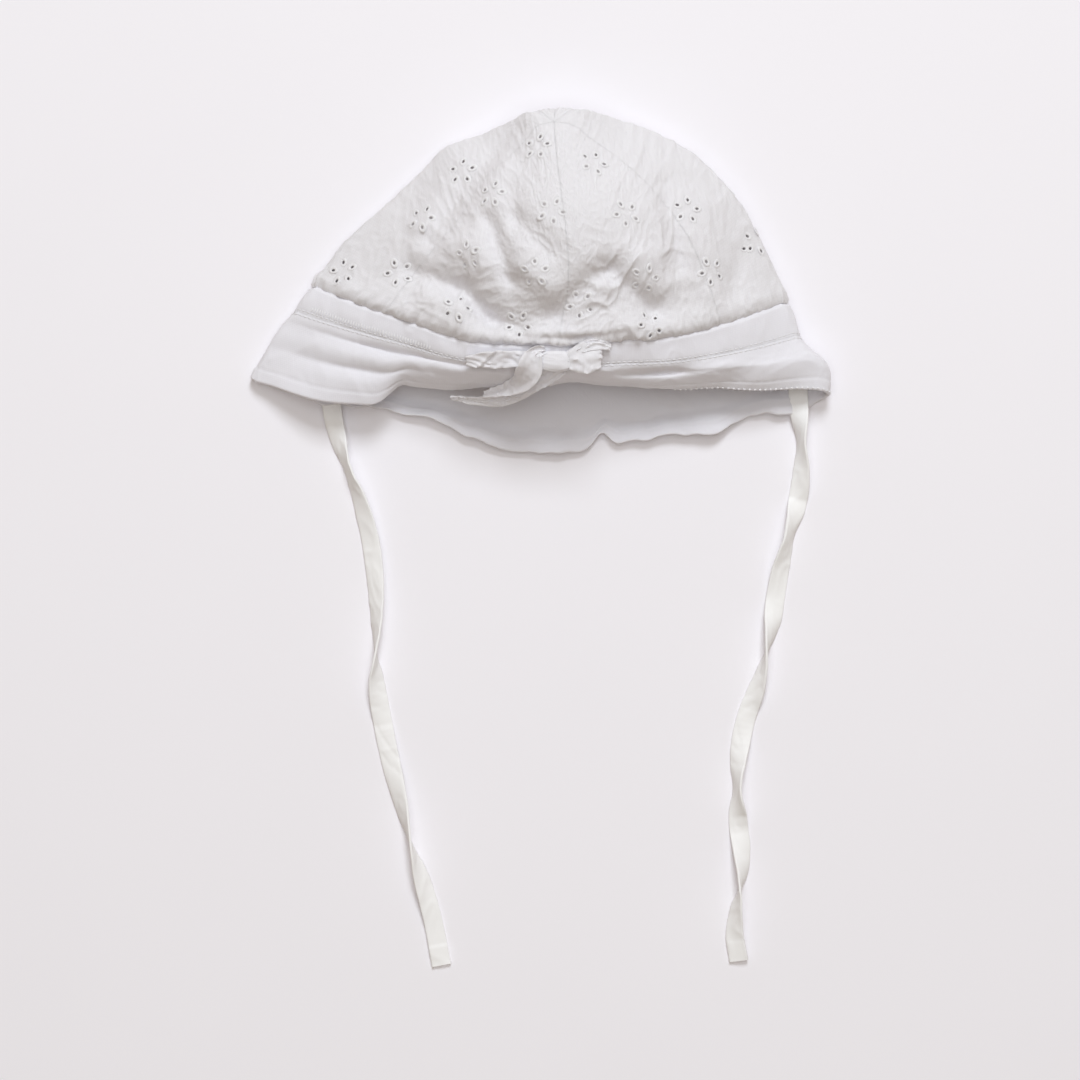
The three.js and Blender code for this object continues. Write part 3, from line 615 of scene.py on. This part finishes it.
def brim_relief(around, down):
    """Small relief of the brim: soft creases, two grooves at its left end, the groove of its stitches,
    the lifted back edge and the hem.  It goes under the band at its upper seam."""
    u, v = around * cloth_width(down), down - BRIM_START
    clear = step_between(v, 0, 9)
    relief = clear * (0.9 * cloth_noise(u / 24, v / 20, 201) + 0.25 * crumple(u, v, 19, 202))
    relief += (1 - clear) * shared_relief(u, down)
    relief += 0.16 * crumple(u, v * 0.7, 8, 203)
    relief -= 0.9 * bell(around + 54, 17) * bell(v - 6.8 - 0.06 * (around + 54), 1.1)
    relief -= 0.8 * bell(around + 58, 14) * bell(v - 18.4, 1.2)
    relief -= 0.8 * step_between(-v, -0.3, 0.8) + 0.14 * bell(v - STITCH_INSET, 0.6)
    at_back = step_between(np.abs(around), BACK_LIFT["from"], BACK_LIFT["to"])
    lift = BACK_LIFT["mean"] + BACK_LIFT["swing"] * cloth_noise(around / 16, 0 * around, 204)
    lift = np.clip(lift, BACK_LIFT["least"], BACK_LIFT["most"])
    relief -= at_back * lift * step_between(v, BRIM_DEPTH - BACK_LIFT["deep"], BRIM_DEPTH)
    hem = BRIM_DEPTH - HEM_DEPTH
    relief += 0.18 * step_between(v, hem, hem + 1) - 0.22 * bell(v - hem, 0.5)
    return relief


def back_waver(around, down):
    """How far the back of the brim's edge wavers in plan, in millimetres."""
    at_back = step_between(np.abs(around), BACK_WAVER["from"], BACK_WAVER["to"])
    to_edge = np.clip((down - BRIM_START) / BRIM_DEPTH, 0, 1) ** 2
    wave = cloth_noise(np.mod(around, 360) / BACK_WAVER["every"], 0 * around, 205)
    return BACK_WAVER["out"] * at_back * to_edge * wave


def cloth_at(around, down, relief):
    """A panel's outer face with its small relief, clear of the surface that the hat lies on.  The
    relief meets itself at the middle of the back."""
    late = step_between(around, *BACK_MEET)
    height = mix(relief(around, down), relief(around - 360, down), late)
    points = hat_surface(around, down) + outward(around, down) * height[..., None]
    points[..., 2] = np.maximum(points[..., 2], FLOOR_CLEAR)
    return points


def eyelets():
    """Degrees round and depth of every eyelet clear of the band, with the way to its flower's middle."""
    flower_a, flower_d = locate(FLOWERS["x"], FLOWERS["y"])
    across, along = hat_tangents(flower_a, flower_d)
    e1 = unit(across)
    e2 = unit(along - e1 * np.sum(along * e1, axis=1, keepdims=True))
    spokes = []
    for i in range(HOLES_IN_FLOWER):
        angle = np.radians(FLOWERS["turn"] + 360 / HOLES_IN_FLOWER * i)[:, None]
        spokes.append(np.cos(angle) * e1 + np.sin(angle) * e2)
    spokes = np.concatenate(spokes)
    x = np.tile(FLOWERS["x"], HOLES_IN_FLOWER) + FLOWER_RADIUS * spokes[:, 0]
    y = np.tile(FLOWERS["y"], HOLES_IN_FLOWER) + FLOWER_RADIUS * spokes[:, 1]
    around, down = locate(x, y)
    normal = outward(around, down)
    spokes = unit(spokes - normal * np.sum(spokes * normal, axis=1, keepdims=True))
    clear = down < CROWN_DEPTH - HOLE_BAND_MARGIN
    return around[clear], down[clear], spokes[clear]


def in_eyelets(places, spots, spokes, radius):
    """Says which places lie in an eyelet, an oval with its long way along its spoke."""
    inside = np.zeros(len(places), bool)
    for spot, spoke in zip(spots, spokes):
        away = places - spot
        away = away - (1 - 1 / OVAL) * (away @ spoke)[:, None] * spoke
        inside |= np.linalg.norm(away, axis=1) < radius
    return inside


def add(primitive, **options):
    """Adds a primitive, lamp or camera, with nothing else selected."""
    bpy.ops.object.select_all(action="DESELECT")
    primitive(**options)
    return bpy.context.object


def take(piece):
    """Selects one piece alone and makes it the active one."""
    bpy.ops.object.select_all(action="DESELECT")
    piece.select_set(True)
    bpy.context.view_layer.objects.active = piece


def read_rows(items, key):
    """Three numbers from each of a mesh's vertices or faces, as rows."""
    flat = np.empty(len(items) * 3)
    items.foreach_get(key, flat)
    return flat.reshape(-1, 3)


def new_grid(name, columns, rows):
    """A flat grid, with its vertices' places from 0 to 1 along each side."""
    piece = add(bpy.ops.mesh.primitive_grid_add, x_subdivisions=columns, y_subdivisions=rows, size=1)
    piece.name = piece.data.name = name
    flat = read_rows(piece.data.vertices, "co")
    return piece, flat[:, 0] + 0.5, 0.5 - flat[:, 1]


def shape(piece, points, u, v):
    """Moves a piece's vertices to points and lays its UV map on the cloth, both in millimetres."""
    mesh = piece.data
    mesh.vertices.foreach_set("co", (points * MM).ravel())
    corner = np.empty(len(mesh.loops), int)
    mesh.loops.foreach_get("vertex_index", corner)
    mesh.uv_layers.active.data.foreach_set("uv", np.stack([u, v], axis=1)[corner].ravel() * MM)
    mesh.update()


def edit(piece, *steps):
    """Runs edit-mode steps on all of a piece."""
    take(piece)
    bpy.ops.object.mode_set(mode="EDIT")
    bpy.ops.mesh.select_all(action="SELECT")
    for step, options in steps:
        step(**options)
    bpy.ops.object.mode_set(mode="OBJECT")


def drop_faces(piece, flags):
    """Deletes the flagged faces of a piece."""
    mesh = bpy.ops.mesh
    edit(piece, (mesh.select_mode, {"type": "FACE"}), (mesh.select_all, {"action": "DESELECT"}))
    piece.data.polygons.foreach_set("select", flags)
    bpy.ops.object.mode_set(mode="EDIT")
    mesh.delete(type="FACE")
    bpy.ops.object.mode_set(mode="OBJECT")


def thicken(piece, wall):
    """Gives a cloth its thickness, inward from its face, and keeps it above the surface below."""
    take(piece)
    solid = piece.modifiers.new("wall", "SOLIDIFY")
    solid.thickness = wall * MM
    solid.offset = -1
    bpy.ops.object.modifier_apply(modifier=solid.name)
    places = read_rows(piece.data.vertices, "co")
    places[:, 2] = np.maximum(places[:, 2], 0)
    piece.data.vertices.foreach_set("co", places.ravel())


def sewn(piece, material, slot, *nodes):
    """Finishes a piece: smooth faces, its material, and its place in the frame."""
    take(piece)
    bpy.ops.object.shade_smooth_by_angle(angle=SMOOTH_ANGLE)
    piece.data.materials.clear()
    piece.data.materials.append(material)
    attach(piece, "root")
    if nodes:
        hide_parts(*nodes)
    return piece


def copies(name, model, spots, axes):
    """One mesh of copies of a model, each at a spot with its own three axes, in millimetres."""
    points = read_rows(model.data.vertices, "co")
    faces = [list(face.vertices) for face in model.data.polygons]
    placed = np.einsum("pk,nkc->npc", points, axes) + spots[:, None, :] * MM
    count = len(points)
    every = [[i + n * count for i in face] for n in range(len(spots)) for face in faces]
    made = bpy.data.meshes.new(name)
    made.from_pydata(placed.reshape(-1, 3), [], every)
    piece = bpy.data.objects.new(name, made)
    bpy.context.collection.objects.link(piece)
    bpy.data.objects.remove(model)
    return piece


def stitch_model(length, radius):
    """One stitch of thread, lying along X, sunk at both ends and a little flattened."""
    model = add(bpy.ops.mesh.primitive_uv_sphere_add, segments=6, ring_count=4, radius=1)
    middle = {"center_override": (0, 0, 0)}
    halves = (length / 2 * MM, radius * 1.25 * MM, radius * MM)
    edit(
        model,
        (bpy.ops.transform.rotate, {"value": math.pi / 2, "orient_axis": "Y", **middle}),
        (bpy.ops.transform.resize, {"value": halves, **middle}),
    )
    return model


def along_line(around, down, relief, every):
    """Evenly spaced spots along a line on a panel, each with its own axes."""
    points = cloth_at(around, down, relief)
    length = lengths_along(points)
    at = np.arange(every / 2, length[-1], every)
    spots, ahead = (
        np.stack([np.interp(where, length, axis) for axis in points.T], axis=1)
        for where in (at, at + STITCH_AHEAD))
    normal = outward(np.interp(at, length, around), np.interp(at, length, down))
    run = unit(ahead - spots)
    side = unit(np.cross(normal, run))
    return spots, np.stack([run, side, np.cross(run, side)], axis=1)


def feed(tree, made, inputs):
    """Sets a node's inputs to values, or links them to the outputs of other nodes."""
    for key, value in inputs.items():
        if isinstance(value, bpy.types.NodeSocket):
            tree.links.new(value, made.inputs[key])
        else:
            made.inputs[key].default_value = value


def node(tree, kind, inputs=None, **settings):
    """Adds a node with its settings, and its inputs as values or links."""
    made = tree.nodes.new(kind)
    for key, value in settings.items():
        setattr(made, key, value)
    feed(tree, made, inputs or {})
    return made


def new_material(name):
    """A new material, with its node tree and its shader."""
    material = bpy.data.materials.new(name)
    material.use_nodes = True
    return material, material.node_tree, material.node_tree.nodes["Principled BSDF"]


def woven_cotton(name, tint, thread, crinkle, crinkle_depth):
    """A plain weave of white cotton.  Matt threads scatter light evenly, with a faint soft sheen at
    grazing angles, painted shade in the tiny gaps between the threads, and a crinkle that runs along
    the warp.  The real threads are about 0.33 mm apart; they are drawn wider apart so that they show."""
    material = bpy.data.materials.get(name)
    if material:
        return material
    white, dull, between = (
        tuple(t * share * c for t, c in zip(tint, colours()[key][:3])) + (1.0,)
        for key, share in (("cotton", 1.0), ("cotton", 0.97), ("painted_gap_shade", 1.0)))
    material, tree, shader = new_material(name)
    place = node(tree, "ShaderNodeTexCoord").outputs["UV"]
    bands = {"Vector": place, "Scale": WAVE_PERIOD / (thread * MM), "Distortion": 0.6, "Detail": 1.0}
    warp, weft = (node(tree, "ShaderNodeTexWave", bands, bands_direction=way) for way in "XY")
    over = node(tree, "ShaderNodeTexChecker", {"Vector": place, "Scale": 1 / (thread * MM)})
    weave = node(tree, "ShaderNodeMix", {
        0: over.outputs["Fac"], 2: warp.outputs["Fac"], 3: weft.outputs["Fac"]})
    stretched = node(tree, "ShaderNodeMapping", {
        "Vector": place, "Scale": (1 / (crinkle * MM), 0.3 / (crinkle * MM), 1)})
    creased = node(tree, "ShaderNodeTexNoise", {
        "Vector": stretched.outputs[0], "Scale": 1.0, "Detail": 3.0, "Roughness": 0.6,
        "Distortion": 0.8})
    cloudy = node(tree, "ShaderNodeTexNoise", {"Vector": place, "Scale": 1 / (30 * MM), "Detail": 2.0})
    shade = node(tree, "ShaderNodeMix", {0: cloudy.outputs["Fac"], 6: white, 7: dull}, data_type="RGBA")
    # painted shade in the gaps between the threads: up to 0.3 of the deeper white where the weave sinks
    gaps = node(tree, "ShaderNodeMapRange", {0: weave.outputs[0], 1: 0.0, 2: 0.6, 3: 0.3, 4: 0.0})
    colour = node(tree, "ShaderNodeMix", {
        0: gaps.outputs[0], 6: shade.outputs[2], 7: between}, data_type="RGBA")
    relief = node(tree, "ShaderNodeBump", {
        "Height": creased.outputs["Fac"], "Distance": crinkle_depth * MM, "Strength": 0.6})
    threads = node(tree, "ShaderNodeBump", {
        "Height": weave.outputs[0], "Distance": 0.1 * MM, "Strength": 0.2, "Normal": relief.outputs[0]})
    feed(tree, shader, {
        "Base Color": colour.outputs[2], "Normal": threads.outputs[0], "Roughness": 0.92,
        "Specular IOR Level": 0.25, "Sheen Weight": 0.12, "Sheen Roughness": 0.45,
        "Subsurface Weight": 0.5, "Subsurface Radius": (1.0, 1.0, 1.0), "Subsurface Scale": 1.2 * MM})
    return material


def embroidery_thread():
    """Mercerised cotton thread, wound close: smoother and a little glossier than the cloth, with painted
    shade that makes it a touch duller in the hollows of its ply, and fine ribs across each stitch.  The
    real ply is about 0.15 mm; it is drawn coarser so that it shows."""
    name = "mercerised_cotton_thread"
    material = bpy.data.materials.get(name)
    if material:
        return material
    tint = colours()
    material, tree, shader = new_material(name)
    place = node(tree, "ShaderNodeTexCoord").outputs["Object"]
    ply = node(tree, "ShaderNodeTexNoise", {"Vector": place, "Scale": 1 / (0.5 * MM), "Detail": 2.0})
    # painted shade: where the ply's bump sinks, the colour goes to the deeper thread white
    colour = node(tree, "ShaderNodeMix", {
        0: ply.outputs["Fac"], 6: tint["thread"], 7: tint["cotton"]}, data_type="RGBA")
    ribs = node(tree, "ShaderNodeBump", {
        "Height": ply.outputs["Fac"], "Distance": 0.08 * MM, "Strength": 0.5})
    feed(tree, shader, {
        "Base Color": colour.outputs[2], "Normal": ribs.outputs[0], "Roughness": 0.6,
        "Sheen Weight": 0.15})
    return material


def eyelet_cotton():
    """Thin cotton of the crown: a deep crinkle breaks the light into fine streaks."""
    return woven_cotton("crinkled_eyelet_cotton", (0.985, 0.98, 0.985), 0.9, 1.7, 0.4)


def plain_cotton():
    """Doubled plain cotton of the band and the brim: smooth, a slightly cooler white, and brighter as
    painted light.
    """
    # painted light: the brim's copy of the cotton is brighter than the crown's, for its slopes that fall
    # away from the light
    return woven_cotton("plain_woven_cotton", (1.01, 1.01, 1.035), 0.8, 2.6, 0.16)


def tie_cotton():
    """Folded cotton tape of the ties: smooth, a slightly creamier white, and a little darker as painted
    shade.
    """
    # painted shade: the ties' copy of the cotton is a little darker, besides its creamier tint
    return woven_cotton("tie_cotton", (0.97, 0.96, 0.95), 0.8, 2.2, 0.16)


def bow_cotton():
    """Soft cotton of the bow: the brightest white as painted light on the bow, with a light crinkle."""
    # painted light: the bow's copy of the same cotton is made the brightest
    return woven_cotton("soft_bow_cotton", (1.04, 1.04, 1.055), 0.8, 2.2, 0.2)


def matt_painted_board():
    """A board under flat white paint: an even matt white, a little cloudy, with no visible gloss."""
    material, tree, shader = new_material("matt_painted_board")
    tint = colours()["floor"]
    dull = tuple(0.985 * c for c in tint[:3]) + (1.0,)
    place = node(tree, "ShaderNodeTexCoord").outputs["Object"]
    cloudy = node(tree, "ShaderNodeTexNoise", {"Vector": place, "Scale": 1 / (90 * MM), "Detail": 2.0})
    colour = node(tree, "ShaderNodeMix", {0: cloudy.outputs["Fac"], 6: tint, 7: dull}, data_type="RGBA")
    feed(tree, shader, {"Base Color": colour.outputs[2], "Roughness": 0.85})
    return material


def strip(name, centres, sides, widths, thicks, relief, floor=None):
    """A flat folded strip swept along centres, closed at both ends, in millimetres.  relief says how
    far its faces sink or swell along and across it."""
    steps, round_it = len(centres) - 1, len(STRIP_ACROSS) - 1
    tangents = unit(np.gradient(centres, axis=0))
    sides = unit(sides - tangents * np.sum(sides * tangents, axis=1, keepdims=True))
    ups = np.cross(tangents, sides)
    piece, u, v = new_grid(name, round_it, steps)
    ring, k = np.rint(u * round_it).astype(int), np.rint(v * steps).astype(int)
    across, rise, width = STRIP_ACROSS[ring], STRIP_RISE[ring], widths[k]
    length = lengths_along(centres)
    lift = rise * thicks[k] + relief(length[k], across, np.sign(rise))
    points = centres[k] + sides[k] * (across * width)[:, None] + ups[k] * lift[:, None]
    if floor is not None:
        low = np.full(len(centres), np.inf)
        np.minimum.at(low, k, points[:, 2])
        points[:, 2] += np.maximum(floor - low, 0)[k]
    spread = np.where(rise > 0, STRIP_UV_STEP, 0) * width
    shape(piece, points, across * width + spread, length[k])
    edit(
        piece,
        (bpy.ops.mesh.remove_doubles, {"threshold": WELD}),
        (bpy.ops.mesh.fill_holes, {"sides": 0}),
        (bpy.ops.mesh.normals_make_consistent, {"inside": False}),
    )
    return piece, length[-1]


def level_sides(centres):
    """Directions square to a route and level."""
    run = np.gradient(centres, axis=0)
    return unit(np.stack([-run[:, 1], run[:, 0], 0 * run[:, 0]], axis=1))


def tie_relief(along, across, face, seed):
    """How far a tie's faces swell, wrinkle and curl, with a seam pressed in beside one edge."""
    puff = 0.12 * np.cos(np.pi * across) * face
    wrinkle = 0.3 * (crumple(along, across * 14, 12, 310 + seed) - 0.3)
    curl = 0.5 * across**2 * cloth_noise(along / 22, 0 * along, 320 + seed)
    seam = -0.12 * face * bell(across - 0.36, 0.03)
    return puff + wrinkle + curl + seam


def bow_relief(along, across, _face, name, seed, end):
    """How far a bow strap creases, pleats near the knot, curls and swells.  The left loop shows the
    edge of its mouth."""
    root = np.exp(-along / PLEAT_REACH)
    if name in BOW_LOOPS:
        root = root + np.exp((along - end) / PLEAT_REACH)
    crease = 0.8 * (crumple(along * 0.5, across * 9, 3.8, 400 + seed) - 0.35)
    drift = 0.5 * cloth_noise(along / 6, across * 3, 405 + seed)
    pleat = 0.55 * root * np.cos(2 * np.pi * (2.3 * across + drift))
    curl = 1.6 * across**2 * cloth_noise(along / 14, 0 * along, 410 + seed)
    relief = crease + pleat + curl + PUFF[name] * (1 - 4 * across**2)
    if name == "bow_loop_left":
        mouth = along - (24.5 - 8 * across)
        relief += (along < 33) * (0.6 * bell(mouth, 0.8) - 0.9 * bell(mouth - 1.7, 1.0))
    return relief


class SUNHAT_OT_ties(bpy.types.Operator):
    """Lays out the two flat ties"""

    bl_idname = "sunhat.ties"
    bl_label = "Ties"

    def execute(self, context):
        size = sizes()
        width, thick = size["tie_width"], size["tie_thick"]
        for seed, (name, rows) in enumerate(TIES.items()):
            knots = lengths_along(np.stack([rows["x"], rows["y"]], axis=1))
            at = np.linspace(0, knots[-1], TIE_STEPS)
            x, y, rest, roll = (through(knots, column, at) for column in rows.values())
            roll = np.radians(roll)
            lift = np.abs(np.sin(roll)) * width / 2 + np.abs(np.cos(roll)) * thick / 2
            centres = np.stack([x, y, np.maximum(rest, 0) + lift], axis=1)
            sides = level_sides(centres) * np.cos(roll)[:, None] + UP * np.sin(roll)[:, None]
            hem = step_between(at, knots[-1] - TIE_HEM["from"], knots[-1] - TIE_HEM["to"])
            thicks = thick * (1 + TIE_HEM["thicker"] * hem)
            widths = width * (1 + 0.03 * cloth_noise(at / 17, 0 * at, 300 + seed))
            relief = partial(tie_relief, seed=seed)
            piece, length = strip(name + "_cloth", centres, sides, widths, thicks, relief, FLOOR_CLEAR)
            sewn(piece, tie_cotton(), "tie_cotton", name)
        return {"FINISHED"}


class SUNHAT_OT_crown(bpy.types.Operator):
    """Sews the six gores of the crown, with their eyelets cut through"""

    bl_idname = "sunhat.crown"
    bl_label = "Crown"

    def execute(self, context):
        size = sizes()
        hole_a, hole_d, spokes = eyelets()
        spots = cloth_at(hole_a, hole_d, crown_relief)
        for name, (start, end, cell) in GORES.items():
            wide = (end - start) * cloth_width(CROWN_DEPTH)
            piece, across, along = new_grid(name + "_cloth", round(wide / cell), round(CROWN_DEPTH / cell))
            down = mix(GORE_GAPS["top"], CROWN_DEPTH - GORE_GAPS["band"], along)
            gap = GORE_GAPS["side"] / np.maximum(cloth_width(down), LEAST_WIDTH)
            around = mix(start + gap, end - gap, across)
            shape(piece, cloth_at(around, down, crown_relief), around * cloth_width(down), down)
            middles = read_rows(piece.data.polygons, "center") / MM
            gone = in_eyelets(middles, spots, spokes, size["hole_radius"] + HOLE_TRIM)
            if gone.any():
                drop_faces(piece, gone)
            thicken(piece, size["crown_wall"])
            sewn(piece, eyelet_cotton(), "eyelet_cotton", name)
        return {"FINISHED"}


class SUNHAT_OT_eyelets(bpy.types.Operator):
    """Stitches the raised rims of the eyelets"""

    bl_idname = "sunhat.eyelets"
    bl_label = "Eyelet rims"

    def execute(self, context):
        size = sizes()
        around, down, spokes = eyelets()
        half = size["rim_width"] / 2
        model = add(
            bpy.ops.mesh.primitive_torus_add, major_segments=20, minor_segments=8,
            major_radius=(size["hole_radius"] + half) * MM, minor_radius=half * MM)
        edit(model, (bpy.ops.transform.resize, {
            "value": (OVAL, 1, RIM_FLAT), "center_override": (0, 0, 0)}))
        spots = cloth_at(around, down, crown_relief)
        normal = outward(around, down)
        axes = np.stack([spokes, np.cross(normal, spokes), normal], axis=1)
        piece = copies("eyelet_rims", model, spots, axes)
        sewn(piece, embroidery_thread(), "eyelet_cotton")
        return {"FINISHED"}


class SUNHAT_OT_band(bpy.types.Operator):
    """Sews the plain band round the crown"""

    bl_idname = "sunhat.band"
    bl_label = "Band"

    def execute(self, context):
        piece, across, along = new_grid("band_cloth", *BAND_CELLS)
        around, down = mix(-180, 180, across), mix(CROWN_DEPTH - SEAM_TUCK, BRIM_START, along)
        shape(piece, cloth_at(around, down, band_relief), around * cloth_width(down), down)
        edit(piece, (bpy.ops.mesh.remove_doubles, {"threshold": WELD}))
        thicken(piece, sizes()["band_wall"])
        sewn(piece, plain_cotton(), "plain_cotton", "band")
        return {"FINISHED"}


class SUNHAT_OT_brim(bpy.types.Operator):
    """Sews the plain double brim"""

    bl_idname = "sunhat.brim"
    bl_label = "Brim"

    def execute(self, context):
        wall = sizes()["brim_wall"]
        face = np.linspace(BRIM_START - SEAM_TUCK, BRIM_EDGE - wall / 2, BRIM_ROWS)
        turn = np.linspace(0, np.pi, BRIM_EDGE_ROWS)[1:-1]
        downs = np.concatenate([face, face[-1] + wall / 2 * np.sin(turn), face[::-1]])
        depths = np.concatenate([0 * face, wall / 2 * (1 - np.cos(turn)), wall + 0 * face])
        piece, across, along = new_grid("brim_cloth", BRIM_COLUMNS, len(downs) - 1)
        row = np.rint(along * (len(downs) - 1)).astype(int)
        around, down, depth = mix(-180, 180, across), downs[row], depths[row]
        points = cloth_at(around, down, brim_relief) - outward(around, down) * depth[:, None]
        points[:, 1] += back_waver(around, down)
        points[:, 2] = np.maximum(points[:, 2], FLOOR_CLEAR)
        inner = depth > wall / 2
        shape(piece, points, around * cloth_width(down), down + BRIM_UV_STEP * inner)
        edit(
            piece,
            (bpy.ops.mesh.remove_doubles, {"threshold": WELD}),
            (bpy.ops.mesh.select_mode, {"type": "EDGE"}),
            (bpy.ops.mesh.select_all, {"action": "DESELECT"}),
            (bpy.ops.mesh.select_non_manifold, {}),
            (bpy.ops.mesh.bridge_edge_loops, {}),
            (bpy.ops.mesh.select_all, {"action": "SELECT"}),
            (bpy.ops.mesh.normals_make_consistent, {"inside": False}),
        )
        sewn(piece, plain_cotton(), "plain_cotton", "brim")
        return {"FINISHED"}


class SUNHAT_OT_stitches(bpy.types.Operator):
    """Runs the rows of stitches along the band and the brim"""

    bl_idname = "sunhat.stitches"
    bl_label = "Stitches"

    def execute(self, context):
        size = sizes()
        run, thread = size["stitch_length"], size["thread_radius"]
        # reach in degrees, depth, panel, length and radius of a stitch, spacing, and if it lies crosswise
        above, below = BRIM_START - STITCH_INSET, BRIM_START + STITCH_INSET
        rows = {
            "band_stitches": ((-92, 92), above, band_relief, run, thread, run * 1.25, False),
            "join_stitches": ((-92, 92), below, brim_relief, run, thread, run * 1.25, False),
            "ladder_stitches": ((-77, -40), BRIM_START - 3.2, band_relief, 2.4, thread * 1.2, 1.3, True),
            "hem_stitches": ((34, 128), BRIM_EDGE - 0.9, brim_relief, 1.3, thread * 2, 2.3, False),
        }
        for name, (reach, depth, relief, length, radius, every, crosswise) in rows.items():
            around = np.linspace(*reach, STITCH_POINTS)
            spots, axes = along_line(around, np.full_like(around, depth), relief, every)
            if crosswise:
                axes = np.stack([axes[:, 1], -axes[:, 0], axes[:, 2]], axis=1)
            spots = spots + STITCH_LIFT * axes[:, 2]
            piece = copies(name, stitch_model(length, radius), spots, axes)
            sewn(piece, embroidery_thread(), "plain_cotton")
        return {"FINISHED"}


class SUNHAT_OT_bow(bpy.types.Operator):
    """Ties the small bow on the band"""

    bl_idname = "sunhat.bow"
    bl_label = "Bow"

    def execute(self, context):
        spot_a, spot_d = locate(np.array([BOW_X]), np.array([BOW_Y]))
        band_top = hat_surface(spot_a, spot_d)[0, 2]
        thicks = np.full(BOW_STEPS, sizes()["strap_thick"])
        for seed, (name, rows) in enumerate((BOW_LOOPS | BOW_TAILS).items()):
            knots = lengths_along(np.stack([rows["x"], rows["y"], rows["above"]], axis=1))
            at = np.linspace(0, knots[-1], BOW_STEPS)
            x, y, above, lean, wide = (through(knots, column, at) for column in rows.values())
            centres = np.stack([x, y, band_top + above], axis=1)
            lean = np.radians(lean)[:, None]
            level = np.array([[0.0, 1.0, 0.0]]) if name in BOW_LOOPS else level_sides(centres)
            sides = level * np.cos(lean) + UP * np.sin(lean)
            relief = partial(bow_relief, name=name, seed=seed, end=knots[-1])
            piece, _ = strip(name + "_cloth", centres, sides, wide, thicks, relief)
            sewn(piece, bow_cotton(), "tie_cotton", *([name] if name != "bow_flap" else []))
        knot = add(bpy.ops.mesh.primitive_uv_sphere_add, segments=64, ring_count=40, radius=1)
        knot.name = knot.data.name = "bow_knot_cloth"
        ball = read_rows(knot.data.vertices, "co")
        halves = (KNOT["wide"] / 2, KNOT["long"] / 2, KNOT["tall"] / 2)
        ball = np.sign(ball) * np.abs(ball) ** KNOT["square"] * halves
        creased = 1 + 0.07 * (crumple(ball[:, 0] * 0.35, ball[:, 1] + 0.6 * ball[:, 2], 2.8, 430) - 0.4)
        ball = ball * creased[:, None] + (KNOT["x"], KNOT["y"], band_top + KNOT["above"])
        shape(knot, ball, ball[:, 0], ball[:, 1])
        sewn(knot, bow_cotton(), "tie_cotton", "bow_knot")
        return {"FINISHED"}


class SUNHAT_OT_stage(bpy.types.Operator):
    """Sets the pale surface, the soft light and the camera above the hat"""

    bl_idname = "sunhat.stage"
    bl_label = "Stage"

    def execute(self, context):
        scene = context.scene
        floor = add(bpy.ops.mesh.primitive_plane_add, size=SURFACE_SIZE, location=(0, 0, 0))
        floor.name = "pale_surface"
        floor.data.materials.append(matt_painted_board())
        scene.world = bpy.data.worlds.new("soft_room")
        scene.world.use_nodes = True
        tree = scene.world.node_tree
        feed(tree, tree.nodes["Background"], ROOM_LIGHT)
        for name, (place, size, power) in LAMPS.items():
            lamp = add(bpy.ops.object.light_add, type="AREA", location=place)
            lamp.name = lamp.data.name = name
            lamp.data.size = size
            lamp.data.energy = power
            lamp.data.color = DAYLIGHT
            aim = np.array(place) - LAMP_AIM
            tilt = math.acos(aim[2] / np.linalg.norm(aim))
            lamp.rotation_euler = (tilt, 0, math.atan2(aim[1], aim[0]) + math.pi / 2)
        for name, (place, wide, deep, power) in GLOWS.items():
            glow = add(bpy.ops.object.light_add, type="AREA", location=tuple(c * MM for c in place))
            glow.name = glow.data.name = name
            glow.data.shape = "ELLIPSE"
            glow.data.size = wide * MM
            glow.data.size_y = deep * MM
            glow.data.energy = power
            glow.data.color = GLOW_TINT
        above = (0, CAMERA["y"] * MM, CAMERA["height"] * MM)
        camera = add(bpy.ops.object.camera_add, location=above, rotation=(0, 0, 0))
        camera.data.sensor_width = CAMERA["sensor"]
        camera.data.lens = CAMERA["sensor"] * CAMERA["height"] / CAMERA["view"]
        scene.camera = camera
        scene.view_settings.view_transform = "Standard"
        return {"FINISHED"}


class SUNHAT_PT_panel(bpy.types.Panel):
    """Lists the steps that build the hat"""

    bl_idname = "SUNHAT_PT_panel"
    bl_label = "Sun Hat"
    bl_space_type = "VIEW_3D"
    bl_region_type = "UI"
    bl_category = "Sun Hat"

    def draw(self, context):
        for group in (context.scene.sun_hat_sizes, context.scene.sun_hat_colours):
            for key in type(group).__annotations__:
                self.layout.prop(group, key)
        for step in STEPS:
            self.layout.operator(step.bl_idname)


STEPS = (SUNHAT_OT_stage, SUNHAT_OT_ties, SUNHAT_OT_crown, SUNHAT_OT_eyelets, SUNHAT_OT_band,
         SUNHAT_OT_brim, SUNHAT_OT_stitches, SUNHAT_OT_bow)
CLASSES = (HatSizes, HatColours, *STEPS, SUNHAT_PT_panel)


def register():
    for item in CLASSES:
        bpy.utils.register_class(item)
    bpy.types.Scene.sun_hat_sizes = bpy.props.PointerProperty(type=HatSizes)
    bpy.types.Scene.sun_hat_colours = bpy.props.PointerProperty(type=HatColours)


def unregister():
    del bpy.types.Scene.sun_hat_colours
    del bpy.types.Scene.sun_hat_sizes
    for item in reversed(CLASSES):
        bpy.utils.unregister_class(item)


def main():
    register()
    bpy.ops.sunhat.stage()
    bpy.ops.sunhat.ties()
    bpy.ops.sunhat.crown()
    bpy.ops.sunhat.eyelets()
    bpy.ops.sunhat.band()
    bpy.ops.sunhat.brim()
    bpy.ops.sunhat.stitches()
    bpy.ops.sunhat.bow()
    bpy.context.view_layer.update()


if __name__ == "__main__":
    main()
